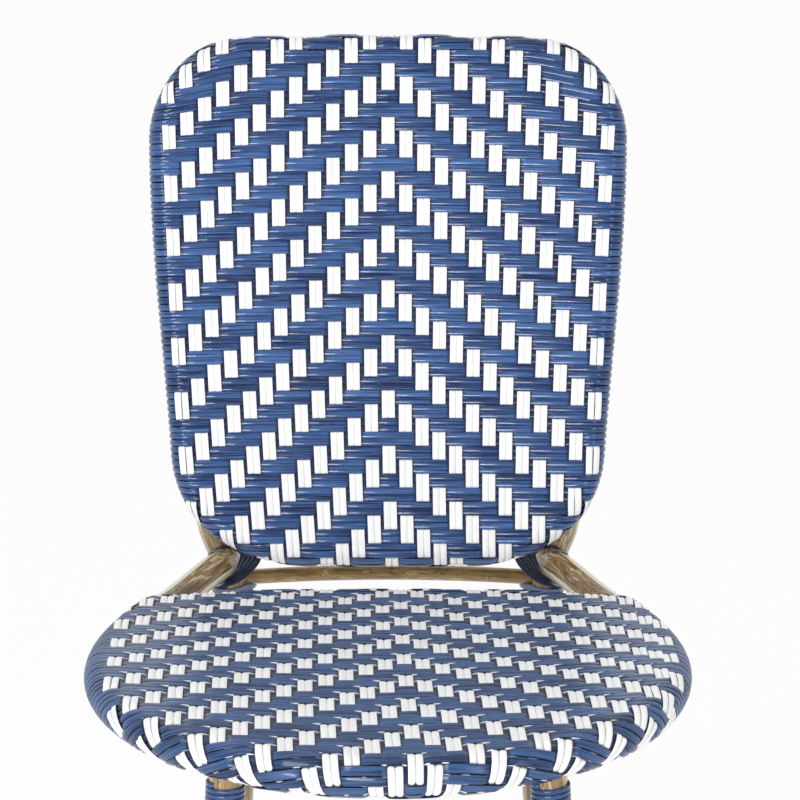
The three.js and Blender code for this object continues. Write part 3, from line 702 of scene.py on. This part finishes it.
def backSegments(v):
    side = hoopSide(v)
    waist, handle, widest = side[0], side[1] - side[0], side[3]
    drop = 0.55 * (v["waistHeight"] - v["bottomZ"])
    bottom, top = Vector((0, v["bottomZ"])), Vector((0, v["topZ"]))
    low = Vector((v["bottomFlat"], v["bottomZ"] + v["bottomCrown"]))
    high = Vector((v["topFlat"], v["topZ"] - v["topCrown"]))
    return [
        (bottom, Vector((low.x / 2, bottom.y)), Vector((low.x / 2, low.y)), low),
        (low, low + Vector((0.62 * (waist.x - low.x), 0)), waist - handle * drop / handle.y, waist),
        side,
        (widest, widest + Vector((0, 0.6 * (top.y - widest.y))),
         high + Vector((0.4 * (widest.x - high.x), 0)), high),
        (high, Vector((high.x / 2, high.y)), Vector((high.x / 2, top.y)), top),
    ]


panelTurn = Matrix.Rotation(-backValues["recline"], 3, "X")
panelFoot = Vector((0, backValues["footY"], backValues["footZ"])) + rowShift
bowFactor = backValues["bow"] / backValues["bowHalf"] ** 2


def bowAt(x):
    return -bowFactor * x * x


def panelPoint(x, depth, height):
    return panelTurn @ Vector((x, depth, height)) + panelFoot


def backAxis(near):
    face = (panelTurn @ Vector((-2 * bowFactor * near.x, -1, 0))).normalized()
    return panelPoint(near.x, bowAt(near.x), near.y), face


def backEdge(normal):
    return panelTurn @ Vector((normal.x, 0, normal.y))


def backColumn(column, height):
    v = backGrid
    foot = max(0, 1 - height / 180) ** 2
    left = smoothStep(-column, 0, 6) * (1 - ((height - 215) / 215) ** 2)
    right = smoothStep(column, 8, 11.5) * smoothStep(430 - height, 0, 80)
    shift = v["footShift"] * foot - v["leftShift"] * left + v["rightShift"] * right
    return column * (v["columnStep"] + v["columnGrowth"] * height) + shift


def backRow(index):
    return backGrid["firstRow"] - backGrid["rowStep"] * index - backGrid["rowGrowth"] * index * index


def backBend(x, index):
    column = abs(x) / 14.2
    side = backGrid["sideBend"] * (column / 12) ** 2 * (1 - smoothStep(index, 16, 32))
    corner = backGrid["cornerBend"] * (max(0, column - 8) / 4) ** 1.3 * math.exp(-max(index, 0) / 3)
    return side + corner


backSheet = {
    "rim": makeRim(backSegments(backValues)), "radius": 11.4, "rimHalf": 181, "seed": 11,
    "axis": backAxis, "edge": backEdge, "columnAt": backColumn, "rowAt": backRow, "bend": backBend,
    "columns": 12, "firstUnit": -6, "lastUnit": 38,
    "weft": {"thickness": 1.3, "shoulder": 0.8, "side": 0.5, "bulge": 0.9, "fill": 0.995},
    "warp": {"thickness": 1.4, "shoulder": 0.72, "side": 0.4, "bulge": 0.1, "width": 5.75},
    "warpPitch": 5.78, "weftTurns": ((0.25, 0.75), (0.08, 0.27)), "warpTurns": ((0.23, 0.9), (0.09, 0.42)),
}

# Seat, seen from above in the seat's own rows
seatValues = {
    "half": 211.2, "frontCentreY": 39, "branchX": 189, "branchY": 156, "branchSlope": -0.3,
    "cornerX": 168, "rearY": 186, "tubeZ": 435.2, "drop": 10, "dropStart": 170, "dropRun": 342.2,
    "jointX": 132, "jointY": 275.5, "jointZ": 448, "sideShare": 0.36, "cornerShare": 0.75,
    "quarterShare": 0.575, "rearBow": 14,
}
seatGrid = {
    "firstRow": 147.325, "rowStep": 10.0411, "rowGrowth": 0.06176, "middle": (12.275, -0.02588, 0.000061),
    "left": (0, 14.045, 0.1469, -0.0042), "right": (0, 12.895, 0.5274, -0.03156),
    "bend": (0, -0.0002885, -0.00003177), "rearLeft": 0.0045, "frontLeft": 0.0028, "frontRight": 0.0055,
}


def seatSide(v):
    frontY = v["frontCentreY"] - v["half"]
    front = quarterHandles(
        Vector((0, frontY)), Vector((v["half"], frontY)), Vector((v["half"], v["frontCentreY"])),
        v["quarterShare"])
    branch = Vector((v["branchX"], v["branchY"]))
    return [front, slopedHandles(front[3], 0, branch, v["branchSlope"], v["sideShare"])]


# The rear edge, from the corner at the rail to the middle
def rearEdge(v):
    corner = Vector((v["cornerX"], v["rearY"] - v["rearBow"]))
    return corner, Vector((128, v["rearY"] - 2.6)), Vector((84, v["rearY"])), Vector((0, v["rearY"]))


def seatSegments(v):
    branch = Vector((v["branchX"], v["branchY"]))
    handle = v["cornerShare"] * (v["rearY"] - v["branchY"])
    edge = rearEdge(v)
    reach = (edge[0] - edge[1]).normalized() * v["cornerShare"] * (v["branchX"] - v["cornerX"])
    turn = (branch, branch + Vector((v["branchSlope"] * handle, handle)) * 0.7, edge[0] + reach, edge[0])
    return [*seatSide(v), turn, edge]


def seatTubeZ(y):
    run = max(0, seatValues["dropStart"] - y) / seatValues["dropRun"]
    return seatValues["tubeZ"] - seatValues["drop"] * run * run


def onSeat(p):
    return Vector((p.x, p.y, seatTubeZ(p.y))) + rowShift


def seatAxis(near):
    run = max(0, seatValues["dropStart"] - near.y) / seatValues["dropRun"]
    slope = 2 * seatValues["drop"] * run / seatValues["dropRun"]
    return onSeat(near), Vector((0, -slope, 1)).normalized()


def seatEdge(normal):
    return Vector((normal.x, normal.y, 0))


def series(factors, x):
    return sum(factor * x ** power for power, factor in enumerate(factors))


def seatColumn(column, y):
    spread = series(seatGrid["left" if column < 0 else "right"], abs(column))
    return series(seatGrid["middle"], y) + math.copysign(spread, column)


def seatRow(index):
    return seatGrid["firstRow"] - seatGrid["rowStep"] * index - seatGrid["rowGrowth"] * index * index


def seatBend(x, index):
    v = seatGrid
    rear = v["rearLeft"] * max(0, -x) * (1 - smoothStep(index, 0, 8))
    front = (v["frontLeft"] * max(0, -x) + v["frontRight"] * max(0, x)) * smoothStep(index, 8, 18)
    return series(v["bend"], x) - rear - front


seatSheet = {
    "rim": makeRim(seatSegments(seatValues)), "radius": 13.4, "rimHalf": 212, "seed": 23,
    "axis": seatAxis, "edge": seatEdge, "columnAt": seatColumn, "rowAt": seatRow, "bend": seatBend,
    "columns": 14, "firstUnit": -10, "lastUnit": 31,
    "weft": {"thickness": 1.7, "shoulder": 0.86, "side": 0.8, "bulge": 0.5, "fill": 1.0},
    "warp": {"thickness": 1.9, "shoulder": 0.48, "side": 0.15, "bulge": 0.0, "width": 5.9},
    "warpPitch": 5.92, "weftTurns": ((0.2, 0.85), (0.07, 0.36)), "warpTurns": ((0.23, 0.85), (0.09, 0.42)),
}

for sheet, name, blue in ((backSheet, "back", backBlue), (seatSheet, "seat", seatBlue)):
    wefts, warps = weaveSheet(sheet)
    finishPiece(wefts, name + "Wefts", blue, [name + "_weave"])
    finishPiece(warps, name + "Warps", whiteStrand, [name + "_weave"])
print("weave made")


tubeValues = {"frame": 12, "bow": 6.25, "rail": 8, "sides": 24}
grainUnit = 12  # the radius at which grain across a tube goes from -1 to 1


def tubeRings(points):
    rings = []
    along = (points[1] - points[0]).normalized()
    side = along.cross(Vector((0, 0, 1))) if abs(along.z) < 0.7 else Vector((1, 0, 0))
    for point, along, travelled in walk(points):
        side = (side - along * side.dot(along)).normalized()
        rings.append(sweepRing(point, side, along.cross(side), travelled))
    return rings


# The painted reflection bands are turned about the tube, as the seat tube's bands lie on top and inside
def makeTube(name, points, kind, node, material, start, turn=0):
    piece, radius = newPiece(), tubeValues[kind]
    cosine, sine = math.cos(math.radians(turn)), math.sin(math.radians(turn))

    def place(ring, across, up):
        return ring.point + (ring.wide * across + ring.out * up) * radius

    def grain(ring, across, up):
        around = Vector((across * cosine - up * sine, across * sine + up * cosine)) * radius / grainUnit
        return Vector((*around, ring.travelled + start))

    addSweep(piece, tubeRings(points), tubeValues["sides"], place, grain)
    finishPiece(piece, name, material, [node])


def seatTubePoints(v):
    branch = Vector((v["branchX"], v["branchY"]))
    joint = Vector((v["jointX"], v["jointY"]))
    slope = (joint.x - branch.x) / (joint.y - branch.y)
    rail = slopedHandles(branch, v["branchSlope"], joint, slope, v["sideShare"])

    def lifted(p):
        climb = smoothStep(p.y, v["rearY"], v["jointY"]) * (v["jointZ"] - v["tubeZ"])
        return onSeat(p) + Vector((0, 0, climb))

    right = [lifted(p) for p in bezierLine([*seatSide(v), rail], 30)]
    return [mirroredX(p) for p in reversed(right[1:])] + right


seatTubeLine = seatTubePoints(seatValues)
makeTube("seatTube", seatTubeLine, "frame", "seat_tube", bambooPaint, 0, 45)
rearBarEdge = rearEdge(seatValues)
rearBarTip = rearBarEdge[0] + (rearBarEdge[0] - rearBarEdge[1]).normalized() * 7  # into the seat tube
rearBarHalf = [onSeat(p) for p in [rearBarTip, *bezierLine([rearBarEdge], 16)]]
rearBarLine = rearBarHalf + [mirroredX(p) for p in reversed(rearBarHalf[:-1])]
makeTube("seatRearBar", rearBarLine, "frame", "seat_rear_bar", legPaint, 900)

# Flares are shares of the way out, back and up between the joint and the foot
postValues = {
    "foot": (165, 318, 11), "collar": (143.5, 33), "shoulder": (152, 90), "inset": 3, "depth": 25.1,
    "flares": [(0.36, 0.62, 0.22), (-0.11, 0.29, 0.44), (-0.32, 0.08, 0.67), (-0.25, -0.01, 0.88)],
    "boltHeights": (176.71, 301.7), "topHeight": 331.87,
}
hoopSideLine = bezierLine([hoopSide(backValues)], 80)


def hoopX(height):
    for low, high in zip(hoopSideLine, hoopSideLine[1:]):
        if low.y <= height <= high.y:
            return low.lerp(high, (height - low.y) / (high.y - low.y)).x
    return hoopSideLine[-1].x


# Where the post's middle line passes behind the hoop, at a height up the panel
def behindHoop(height, sign=1):
    x = hoopX(height)
    return panelPoint(sign * (x - postValues["inset"]), bowAt(x) + postValues["depth"], height)


def postKnots(v):
    joint = Vector((seatValues["jointX"], seatValues["jointY"], seatValues["jointZ"]))
    foot = Vector(v["foot"])
    knots = [foot]
    for out, back, up in v["flares"]:
        x = joint.x + out * (foot.x - joint.x)
        knots.append(Vector((x, joint.y + back * (foot.y - joint.y), up * joint.z)))
    knots = [knot + rowShift for knot in (*knots, joint)]
    knots += [panelPoint(x, bowAt(x) + v["depth"], height) for x, height in (v["collar"], v["shoulder"])]
    return knots + [behindHoop(height) for height in (*v["boltHeights"], v["topHeight"])]


postLine = knotLine(postKnots(postValues), 14)

# Flares are shares of the way out, forward and up between the seat tube and the foot
legValues = {
    "share": 0.53, "footShare": 0.78, "reach": 27, "lift": 11,
    "flares": [(0.13, 0.15, 0.72), (0.36, 0.41, 0.48), (0.66, 0.7, 0.24)],
}


def legKnots(v):
    half = seatValues["half"]
    x = v["share"] * half
    y = seatValues["frontCentreY"] - math.sqrt(half ** 2 - x ** 2)
    top = seatTubeZ(y)
    knots = [(x, y, top)]
    for out, forward, up in v["flares"]:
        knots.append((x + out * (v["footShare"] * half - x), y - forward * v["reach"], up * top))
    knots.append((v["footShare"] * half, y - v["reach"], v["lift"]))
    return [Vector(knot) + rowShift for knot in knots]


legLine = knotLine(legKnots(legValues), 20)

stretcherValues = {
    "drop": 14, "rise": 5, "frontShare": 0.73, "frontRise": 26, "railShare": 0.43, "crossShare": 0.46,
}
stretcherEnd = pointAtHeight(postLine, seatValues["jointZ"] - stretcherValues["drop"])
rearBow = bezierLine([bowHandles(mirroredX(stretcherEnd), stretcherEnd, stretcherValues["rise"])], 40)
makeTube("rearStretcher", rearBow, "bow", "rear_stretcher", goldenPaint, 1500)
frontBowEnd = pointAtHeight(legLine, stretcherValues["frontShare"] * seatValues["tubeZ"])
frontBow = bezierLine([bowHandles(mirroredX(frontBowEnd), frontBowEnd, stretcherValues["frontRise"])], 40)
makeTube("frontStretcher", frontBow, "bow", "front_stretcher", goldenPaint, 2100)
railZ = stretcherValues["railShare"] * seatValues["tubeZ"]
railFront, railRear = pointAtHeight(legLine, railZ), pointAtHeight(postLine, railZ)
crossEnd = railFront.lerp(railRear, stretcherValues["crossShare"])
crossLine = [mirroredX(crossEnd).lerp(crossEnd, i / 8) for i in range(9)]
makeTube("crossRail", crossLine, "rail", "cross_rail", legPaint, 2700)
railLine = [railFront.lerp(railRear, i / 8) for i in range(9)]


# A profile of (radius, height), spun about a line through the point
def turnedPiece(profile, at, direction, steps=32):
    bm = bmesh.new()
    verts = [bm.verts.new((radius, 0, height)) for radius, height in profile]
    edges = [bm.edges.new(pair) for pair in zip(verts, verts[1:])]
    bmesh.ops.spin(bm, geom=verts + edges, cent=(0, 0, 0), axis=(0, 0, 1), dvec=(0, 0, 0),
                   angle=2 * math.pi, steps=steps, use_merge=True)
    bmesh.ops.remove_doubles(bm, verts=bm.verts, dist=0.001)
    bmesh.ops.recalc_face_normals(bm, faces=bm.faces)
    grainLayer = bm.verts.layers.float_vector.new("grain")
    for vert in bm.verts:
        vert[grainLayer] = vert.co / grainUnit
    for face in bm.faces:
        face.smooth = True
    turn = direction.normalized().to_track_quat("Z", "X").to_matrix().to_4x4()
    place = Matrix.Scale(mm, 4) @ Matrix.Translation(at) @ turn
    bmesh.ops.transform(bm, matrix=place, verts=bm.verts)
    piece = newPiece()
    joinInto(piece, bm)
    return piece


def rounded(radius, height, bend, steps=5):
    turns = [math.pi / 2 * i / steps for i in range(steps + 1)]
    return [(radius - bend + bend * math.cos(t), height - bend + bend * math.sin(t)) for t in turns]


fittingValues = {
    "gap": 0.3, "stemRadius": 9.2, "stemDepth": 16, "capRadius": 11.4, "capHeight": 5,
    "glideRadius": 14, "glideHeight": 21, "glideBevel": 0.8,
    "boltRadius": 2.5, "boltTip": 4, "headRadius": 4.75, "headHeight": 2.8,
    "socketRadius": 2.4, "socketDepth": 1.6,
}


# The profile of a nylon piece's stem, which sits in the tube
def stem(v):
    radius, low = v["stemRadius"], -v["stemDepth"]
    return [(0, low), (radius - 1, low), (radius, low + 1), (radius, v["gap"])]


def makeCap(name, node, end, before):
    v = fittingValues
    radius, top = v["capRadius"], v["capHeight"]
    profile = [*stem(v), (radius, v["gap"]), (radius, 1.6), *rounded(radius, top, 3.4), (0, top + 0.2)]
    finishPiece(turnedPiece(profile, end, end - before), name, brownNylon, [node])


# The glide's lower end is cut level with the floor, and the cut's edge is eased
def makeGlide(name, node, end, before):
    v = fittingValues
    radius, gap, top = v["glideRadius"], v["gap"], v["glideHeight"]
    profile = [*stem(v), (radius - 1.2, gap), (radius - 0.35, gap + 0.35), (radius, gap + 1.2),
               (radius, top), (0, top)]
    piece = turnedPiece(profile, end, end - before)
    cut = bmesh.ops.bisect_plane(piece, geom=[*piece.verts, *piece.edges, *piece.faces], plane_co=(0, 0, 0),
                                 plane_no=(0, 0, -1), clear_outer=True)
    rim = [e for e in cut["geom_cut"] if isinstance(e, bmesh.types.BMEdge)]
    bmesh.ops.contextual_create(piece, geom=rim)
    bmesh.ops.bevel(piece, geom=rim, offset=v["glideBevel"] * mm, segments=2, profile=0.5, affect="EDGES",
                    material=-1)
    finishPiece(piece, name, brownNylon, [node])


def makeBolt(name, node, sign, height):
    v = fittingValues
    x = hoopX(height)
    inner, outer = panelPoint(sign * x, bowAt(x), height), behindHoop(height, sign)
    seat = (outer - inner).length + tubeValues["frame"] + v["gap"]
    top, low = seat + v["headHeight"], -v["boltTip"]
    bottom = top - v["socketDepth"]
    radius, head, socket = v["boltRadius"], v["headRadius"], v["socketRadius"]
    profile = [(0, low), (radius - 0.5, low), (radius, low + 0.5), (radius, seat),
               (head - 0.2, seat), (head, seat + 0.3), *rounded(head, top, 2.2),
               (socket + 0.2, top), (socket, top - 0.2), (socket, bottom), (0, bottom - 0.4)]
    finishPiece(turnedPiece(profile, inner, outer - inner, 24), name, boltSteel, [node])


# Lashings. Each knot is (toward the chair's middle, forward, up) from the seat joint
lashShape = {"shoulder": 0.66, "side": 0.3, "bulge": 0}
slingValues = {
    "count": 5, "width": 3.8, "thickness": 1.1, "clear": 12.9, "stack": 0.3,
    "first": [(13, 13, 20), (13.5, 14, 8), (11, 13.8, 1), (7.5, 14, -5.5), (1.5, 14.5, -12.5),
              (-6, 15.5, -15.6), (-14.5, 9, -11), (-14, -2, -8), (-2, -14, -6), (11, -9, 0), (9, -2, 4)],
    "last": [(27, 12, 16), (27, 13.5, 6), (20, 13.8, -4), (13.5, 14, -9.8), (5, 15, -14), (-6, 16, -17),
             (-14.5, 10, -18), (-14, -2, -19), (-2, -14, -17), (12, -8, -12), (10, -2, -9)],
}
bandValues = {
    "width": 3.0, "thickness": 1.2, "clear": 12.95, "radius": 13, "middle": 6.5, "tilt": 9, "lean": 0.25,
    "angles": range(-50, 341, 30),
}
cuffValues = {
    "count": 3, "width": 4.6, "thickness": 1.4, "clear": 13.0, "top": -21.5, "pitch": 4.3, "reach": 20,
}
legLashValues = {
    "loops": 4, "width": 3.6, "thickness": 1.7, "radius": 13.15, "pitch": 3.8, "below": 17.7, "bury": 3.2,
    "steps": 24,
}


def nearestOn(lines, point):
    best = None
    for line in lines:
        for start, end in zip(line, line[1:]):
            share = intersect_point_line(point, start, end)[1]
            spot = start.lerp(end, min(max(share, 0), 1))
            gap = (point - spot).length
            if best is None or gap < best[0]:
                best = (gap, spot)
    return best


# A strand through its knots, pushed out of the tubes that it is wound on
def woundRings(knots, lines, clear):
    line = knotLine(knots, 7)
    points, outs = [], []
    for i, point in enumerate(line):
        gap, spot = nearestOn(lines, point)
        free = smoothStep(gap, clear, clear + 6)
        out = (point - spot).normalized()
        ended = min(i, len(line) - 1 - i)
        points.append(spot + out * clear if gap < clear and ended > 6 else point)
        outs.append((out + Vector((0, -2.5 * free, 0))).normalized())
    for _ in range(4):
        outs = [(outs[max(i - 1, 0)] + out * 2 + outs[min(i + 1, len(outs) - 1)]).normalized()
                for i, out in enumerate(outs)]
    rings = []
    for (point, along, travelled), out in zip(walk(points), outs):
        wide = along.cross(out).normalized()
        rings.append(sweepRing(point, wide, wide.cross(along), travelled))
    return rings


def jointKnot(sign, knot):
    inward, forward, up = knot
    v = seatValues
    return Vector((sign * (v["jointX"] - inward), v["jointY"] - forward, v["jointZ"] + up)) + rowShift


# One turn of a lashing at the seat joint
def addTurn(piece, v, sign, knots, lines, tone, stack=0):
    rings = woundRings([jointKnot(sign, knot) for knot in knots], lines, v["clear"] + stack)
    addStrand(piece, rings, {**lashShape, **v}, tone + 10 * sign)


# Down from the back's rim, under the rail's end, and round the post
def addSling(piece, sign, lines):
    v = slingValues
    for loop in range(v["count"]):
        share = loop / (v["count"] - 1)
        knots = [Vector(a).lerp(Vector(b), share) for a, b in zip(v["first"], v["last"])]
        addTurn(piece, v, sign, knots, lines, 40 + loop, v["stack"] * loop)


# A tilted turn in the crotch over the rail
def addBand(piece, sign, lines):
    v = bandValues
    knots = []
    for angle in map(math.radians, v["angles"]):
        up = v["middle"] + v["tilt"] * math.cos(angle + 0.35)
        knots.append((-v["lean"] * up - v["radius"] * math.sin(angle), v["radius"] * math.cos(angle), up))
    addTurn(piece, v, sign, knots, lines, 60)


# Turns under the stretcher's end, drawn out along it
def addCuff(piece, sign, lines):
    v = cuffValues
    for loop in range(v["count"]):
        up, reach = v["top"] - v["pitch"] * loop, v["reach"] - 2 * loop
        knots = [(2, -13.4, up), (-9, -11, up), (-11, 0, up), (-7, 11, up), (3, 13.6, up), (12, 11, up + 0.8),
                 (reach, 6.8, up + 2.6), (reach + 3, 0.5, up + 0.8), (reach - 1, -6, up + 0.6), (12, -10, up),
                 (2, -13.8, up - 0.4), (-7, -10, up)]
        addTurn(piece, v, sign, knots, lines, 80 + loop)


# Turns round the leg below the seat, with both ends tucked in
def legRings(line):
    v = legLashValues
    start = distanceAtHeight(line, line[0].z - v["below"])
    count = v["loops"] * v["steps"]
    points, outs = [], []
    for i in range(-2, count + 3):
        inside = min(max(i, 0), count)
        angle = 2 * math.pi * (inside / v["steps"] + 0.01 * (i - inside))
        at, axis = pointAtDistance(line, start + v["pitch"] * inside / v["steps"])
        near = axis.orthogonal().normalized()
        outs.append(near * math.cos(angle) + axis.cross(near) * math.sin(angle))
        buried = v["bury"] * max(-i, i - count, 0) / 2
        points.append(at + outs[-1] * (v["radius"] - buried))
    rings = []
    for (point, along, travelled), out in zip(walk(points), outs):
        rings.append(sweepRing(point, along.cross(out).normalized(), out, travelled))
    return rings


for side, sign in (("right", 1), ("left", -1)):
    def flip(points, sign=sign):
        return points if sign > 0 else [mirroredX(p) for p in points]

    post, leg = flip(postLine), flip(legLine)
    shift = 100 * sign
    makeTube(side + "Post", post, "frame", side + "_rear_post", legPaint, 3300 + shift)
    makeTube(side + "Leg", leg, "frame", side + "_front_leg", legPaint, 4500 + shift)
    rail = flip(railLine)
    makeTube(side + "Rail", rail, "rail", side + "_side_rail", bambooPaint, 5400 + shift)
    makeCap(side + "Cap", side + "_post_cap", post[-1], post[-2])
    makeGlide(side + "FrontGlide", side + "_front_glide", leg[-1], leg[-2])
    makeGlide(side + "RearGlide", side + "_rear_glide", post[0], post[1])
    for level, height in zip(("lower", "upper"), postValues["boltHeights"]):
        makeBolt(side + level.capitalize() + "Bolt", f"{side}_{level}_panel_bolt", sign, height)
    joined = [flip(postLine[40:]), flip(seatTubeLine[-24:])]  # the post and the rail about the joint
    sling, cuff, legLash = newPiece(), newPiece(), newPiece()
    addSling(sling, sign, joined)
    addBand(sling, sign, joined)
    finishPiece(sling, side + "JointLashing", slingStrand, [side + "_seat_joint_lashing"])
    addCuff(cuff, sign, joined[:1])
    finishPiece(cuff, side + "StretcherLashing", cuffStrand, [side + "_stretcher_lashing"])
    addStrand(legLash, legRings(leg), {**lashShape, **legLashValues}, 27 + sign)
    finishPiece(legLash, side + "LegLashing", backBlue, [side + "_front_leg_lashing"])

hoop = next(o for o in bpy.data.objects if o.name == "back_hoop")
for slot in hoop.material_slots:
    slot.material = hoopPaint
print("frame and fittings made")


stageValues = {
    "floorHalf": 30.0, "floorColor": (0.85, 0.85, 0.85, 1), "floorWhite": 0.93, "front": 0.34, "rear": 1.0,
}
cameraValues = {
    "lens": 146.57, "sensor": 36, "place": (0, -2.371213, 1.191641),
    "right": Vector((0.99999326, -0.00357275, 0.00084948)), "up": Vector((0, 0.2313183, 0.9728781)),
}


# Light Path's rays that see a white studio instead of the floor's or the sky's own level
def seenAsWhite(tree, kinds):
    path = addNode(tree, "ShaderNodeLightPath")
    total = path.outputs[kinds[0]]
    for kind in kinds[1:]:
        total = maths(tree, "MAXIMUM", total, path.outputs[kind])
    return total


def makeFloor():
    bm = bmesh.new()
    bmesh.ops.create_grid(bm, x_segments=1, y_segments=1, size=stageValues["floorHalf"])
    mesh = bpy.data.meshes.new("floor")
    bm.to_mesh(mesh)
    bm.free()
    floor = bpy.data.objects.new("floor", mesh)
    bpy.context.scene.collection.objects.link(floor)
    material, tree, shader = newMaterial("floorPaper")
    feed(tree, shader, {"Base Color": stageValues["floorColor"], "Roughness": 0.9})
    white = addNode(tree, "ShaderNodeEmission").outputs[0]
    seen = seenAsWhite(tree, ["Is Camera Ray", "Is Glossy Ray", "Is Transmission Ray"])
    seen = maths(tree, "MULTIPLY", seen, stageValues["floorWhite"])
    mix = addNode(tree, "ShaderNodeMixShader", {0: seen, 1: shader.outputs[0], 2: white})
    feed(tree, tree.nodes["Material Output"], {"Surface": mix.outputs[0]})
    mesh.materials.append(material)


# The studio is darker on the camera's side than behind the chair
def makeWorld():
    world = bpy.data.worlds.new("studio")
    bpy.context.scene.world = world
    world.use_nodes = True
    tree = world.node_tree
    direction = addNode(tree, "ShaderNodeTexCoord").outputs["Generated"]
    depth = addNode(tree, "ShaderNodeSeparateXYZ", {0: direction}).outputs["Y"]
    level = addNode(tree, "ShaderNodeMapRange", {
        "Value": depth, "From Min": -0.5, "From Max": 0.4, "To Min": stageValues["front"],
        "To Max": stageValues["rear"]}, interpolation_type="SMOOTHSTEP").outputs[0]
    strength = maths(tree, "MAXIMUM", level, seenAsWhite(tree, ["Is Camera Ray"]))
    feed(tree, tree.nodes["Background"], {"Color": (1, 1, 1, 1), "Strength": strength})


def addLamp(name, place, target, size, power):
    lamp = bpy.data.lights.new(name, "AREA")
    lamp.shape = "RECTANGLE"
    lamp.size, lamp.size_y = size
    lamp.energy = power
    made = bpy.data.objects.new(name, lamp)
    made.location = place
    made.rotation_euler = (Vector(target) - Vector(place)).to_track_quat("-Z", "Y").to_euler()
    bpy.context.scene.collection.objects.link(made)


def makeCamera(v):
    lens = bpy.data.cameras.new("camera")
    lens.lens, lens.sensor_width = v["lens"], v["sensor"]
    made = bpy.data.objects.new("camera", lens)
    turn = Matrix((v["right"], v["up"], v["right"].cross(v["up"]))).transposed().to_4x4()
    made.matrix_world = Matrix.Translation(v["place"]) @ turn
    bpy.context.scene.collection.objects.link(made)
    bpy.context.scene.camera = made


makeFloor()
makeWorld()
addLamp("keyLamp", place=(-1.5, -1.9, 3.0), target=(0, 0, 0.5), size=(1.2, 1.2), power=34)
addLamp("lowLamp", place=(-0.85, -2.6, 0.42), target=(0, 0, 0.65), size=(1.5, 0.42), power=31)
addLamp("fillLamp", place=(1.8, -2.4, 1.6), target=(0, 0, 0.5), size=(1.0, 1.6), power=16)
makeCamera(cameraValues)
bpy.context.scene.view_settings.view_transform = "Standard"
print("stage set")
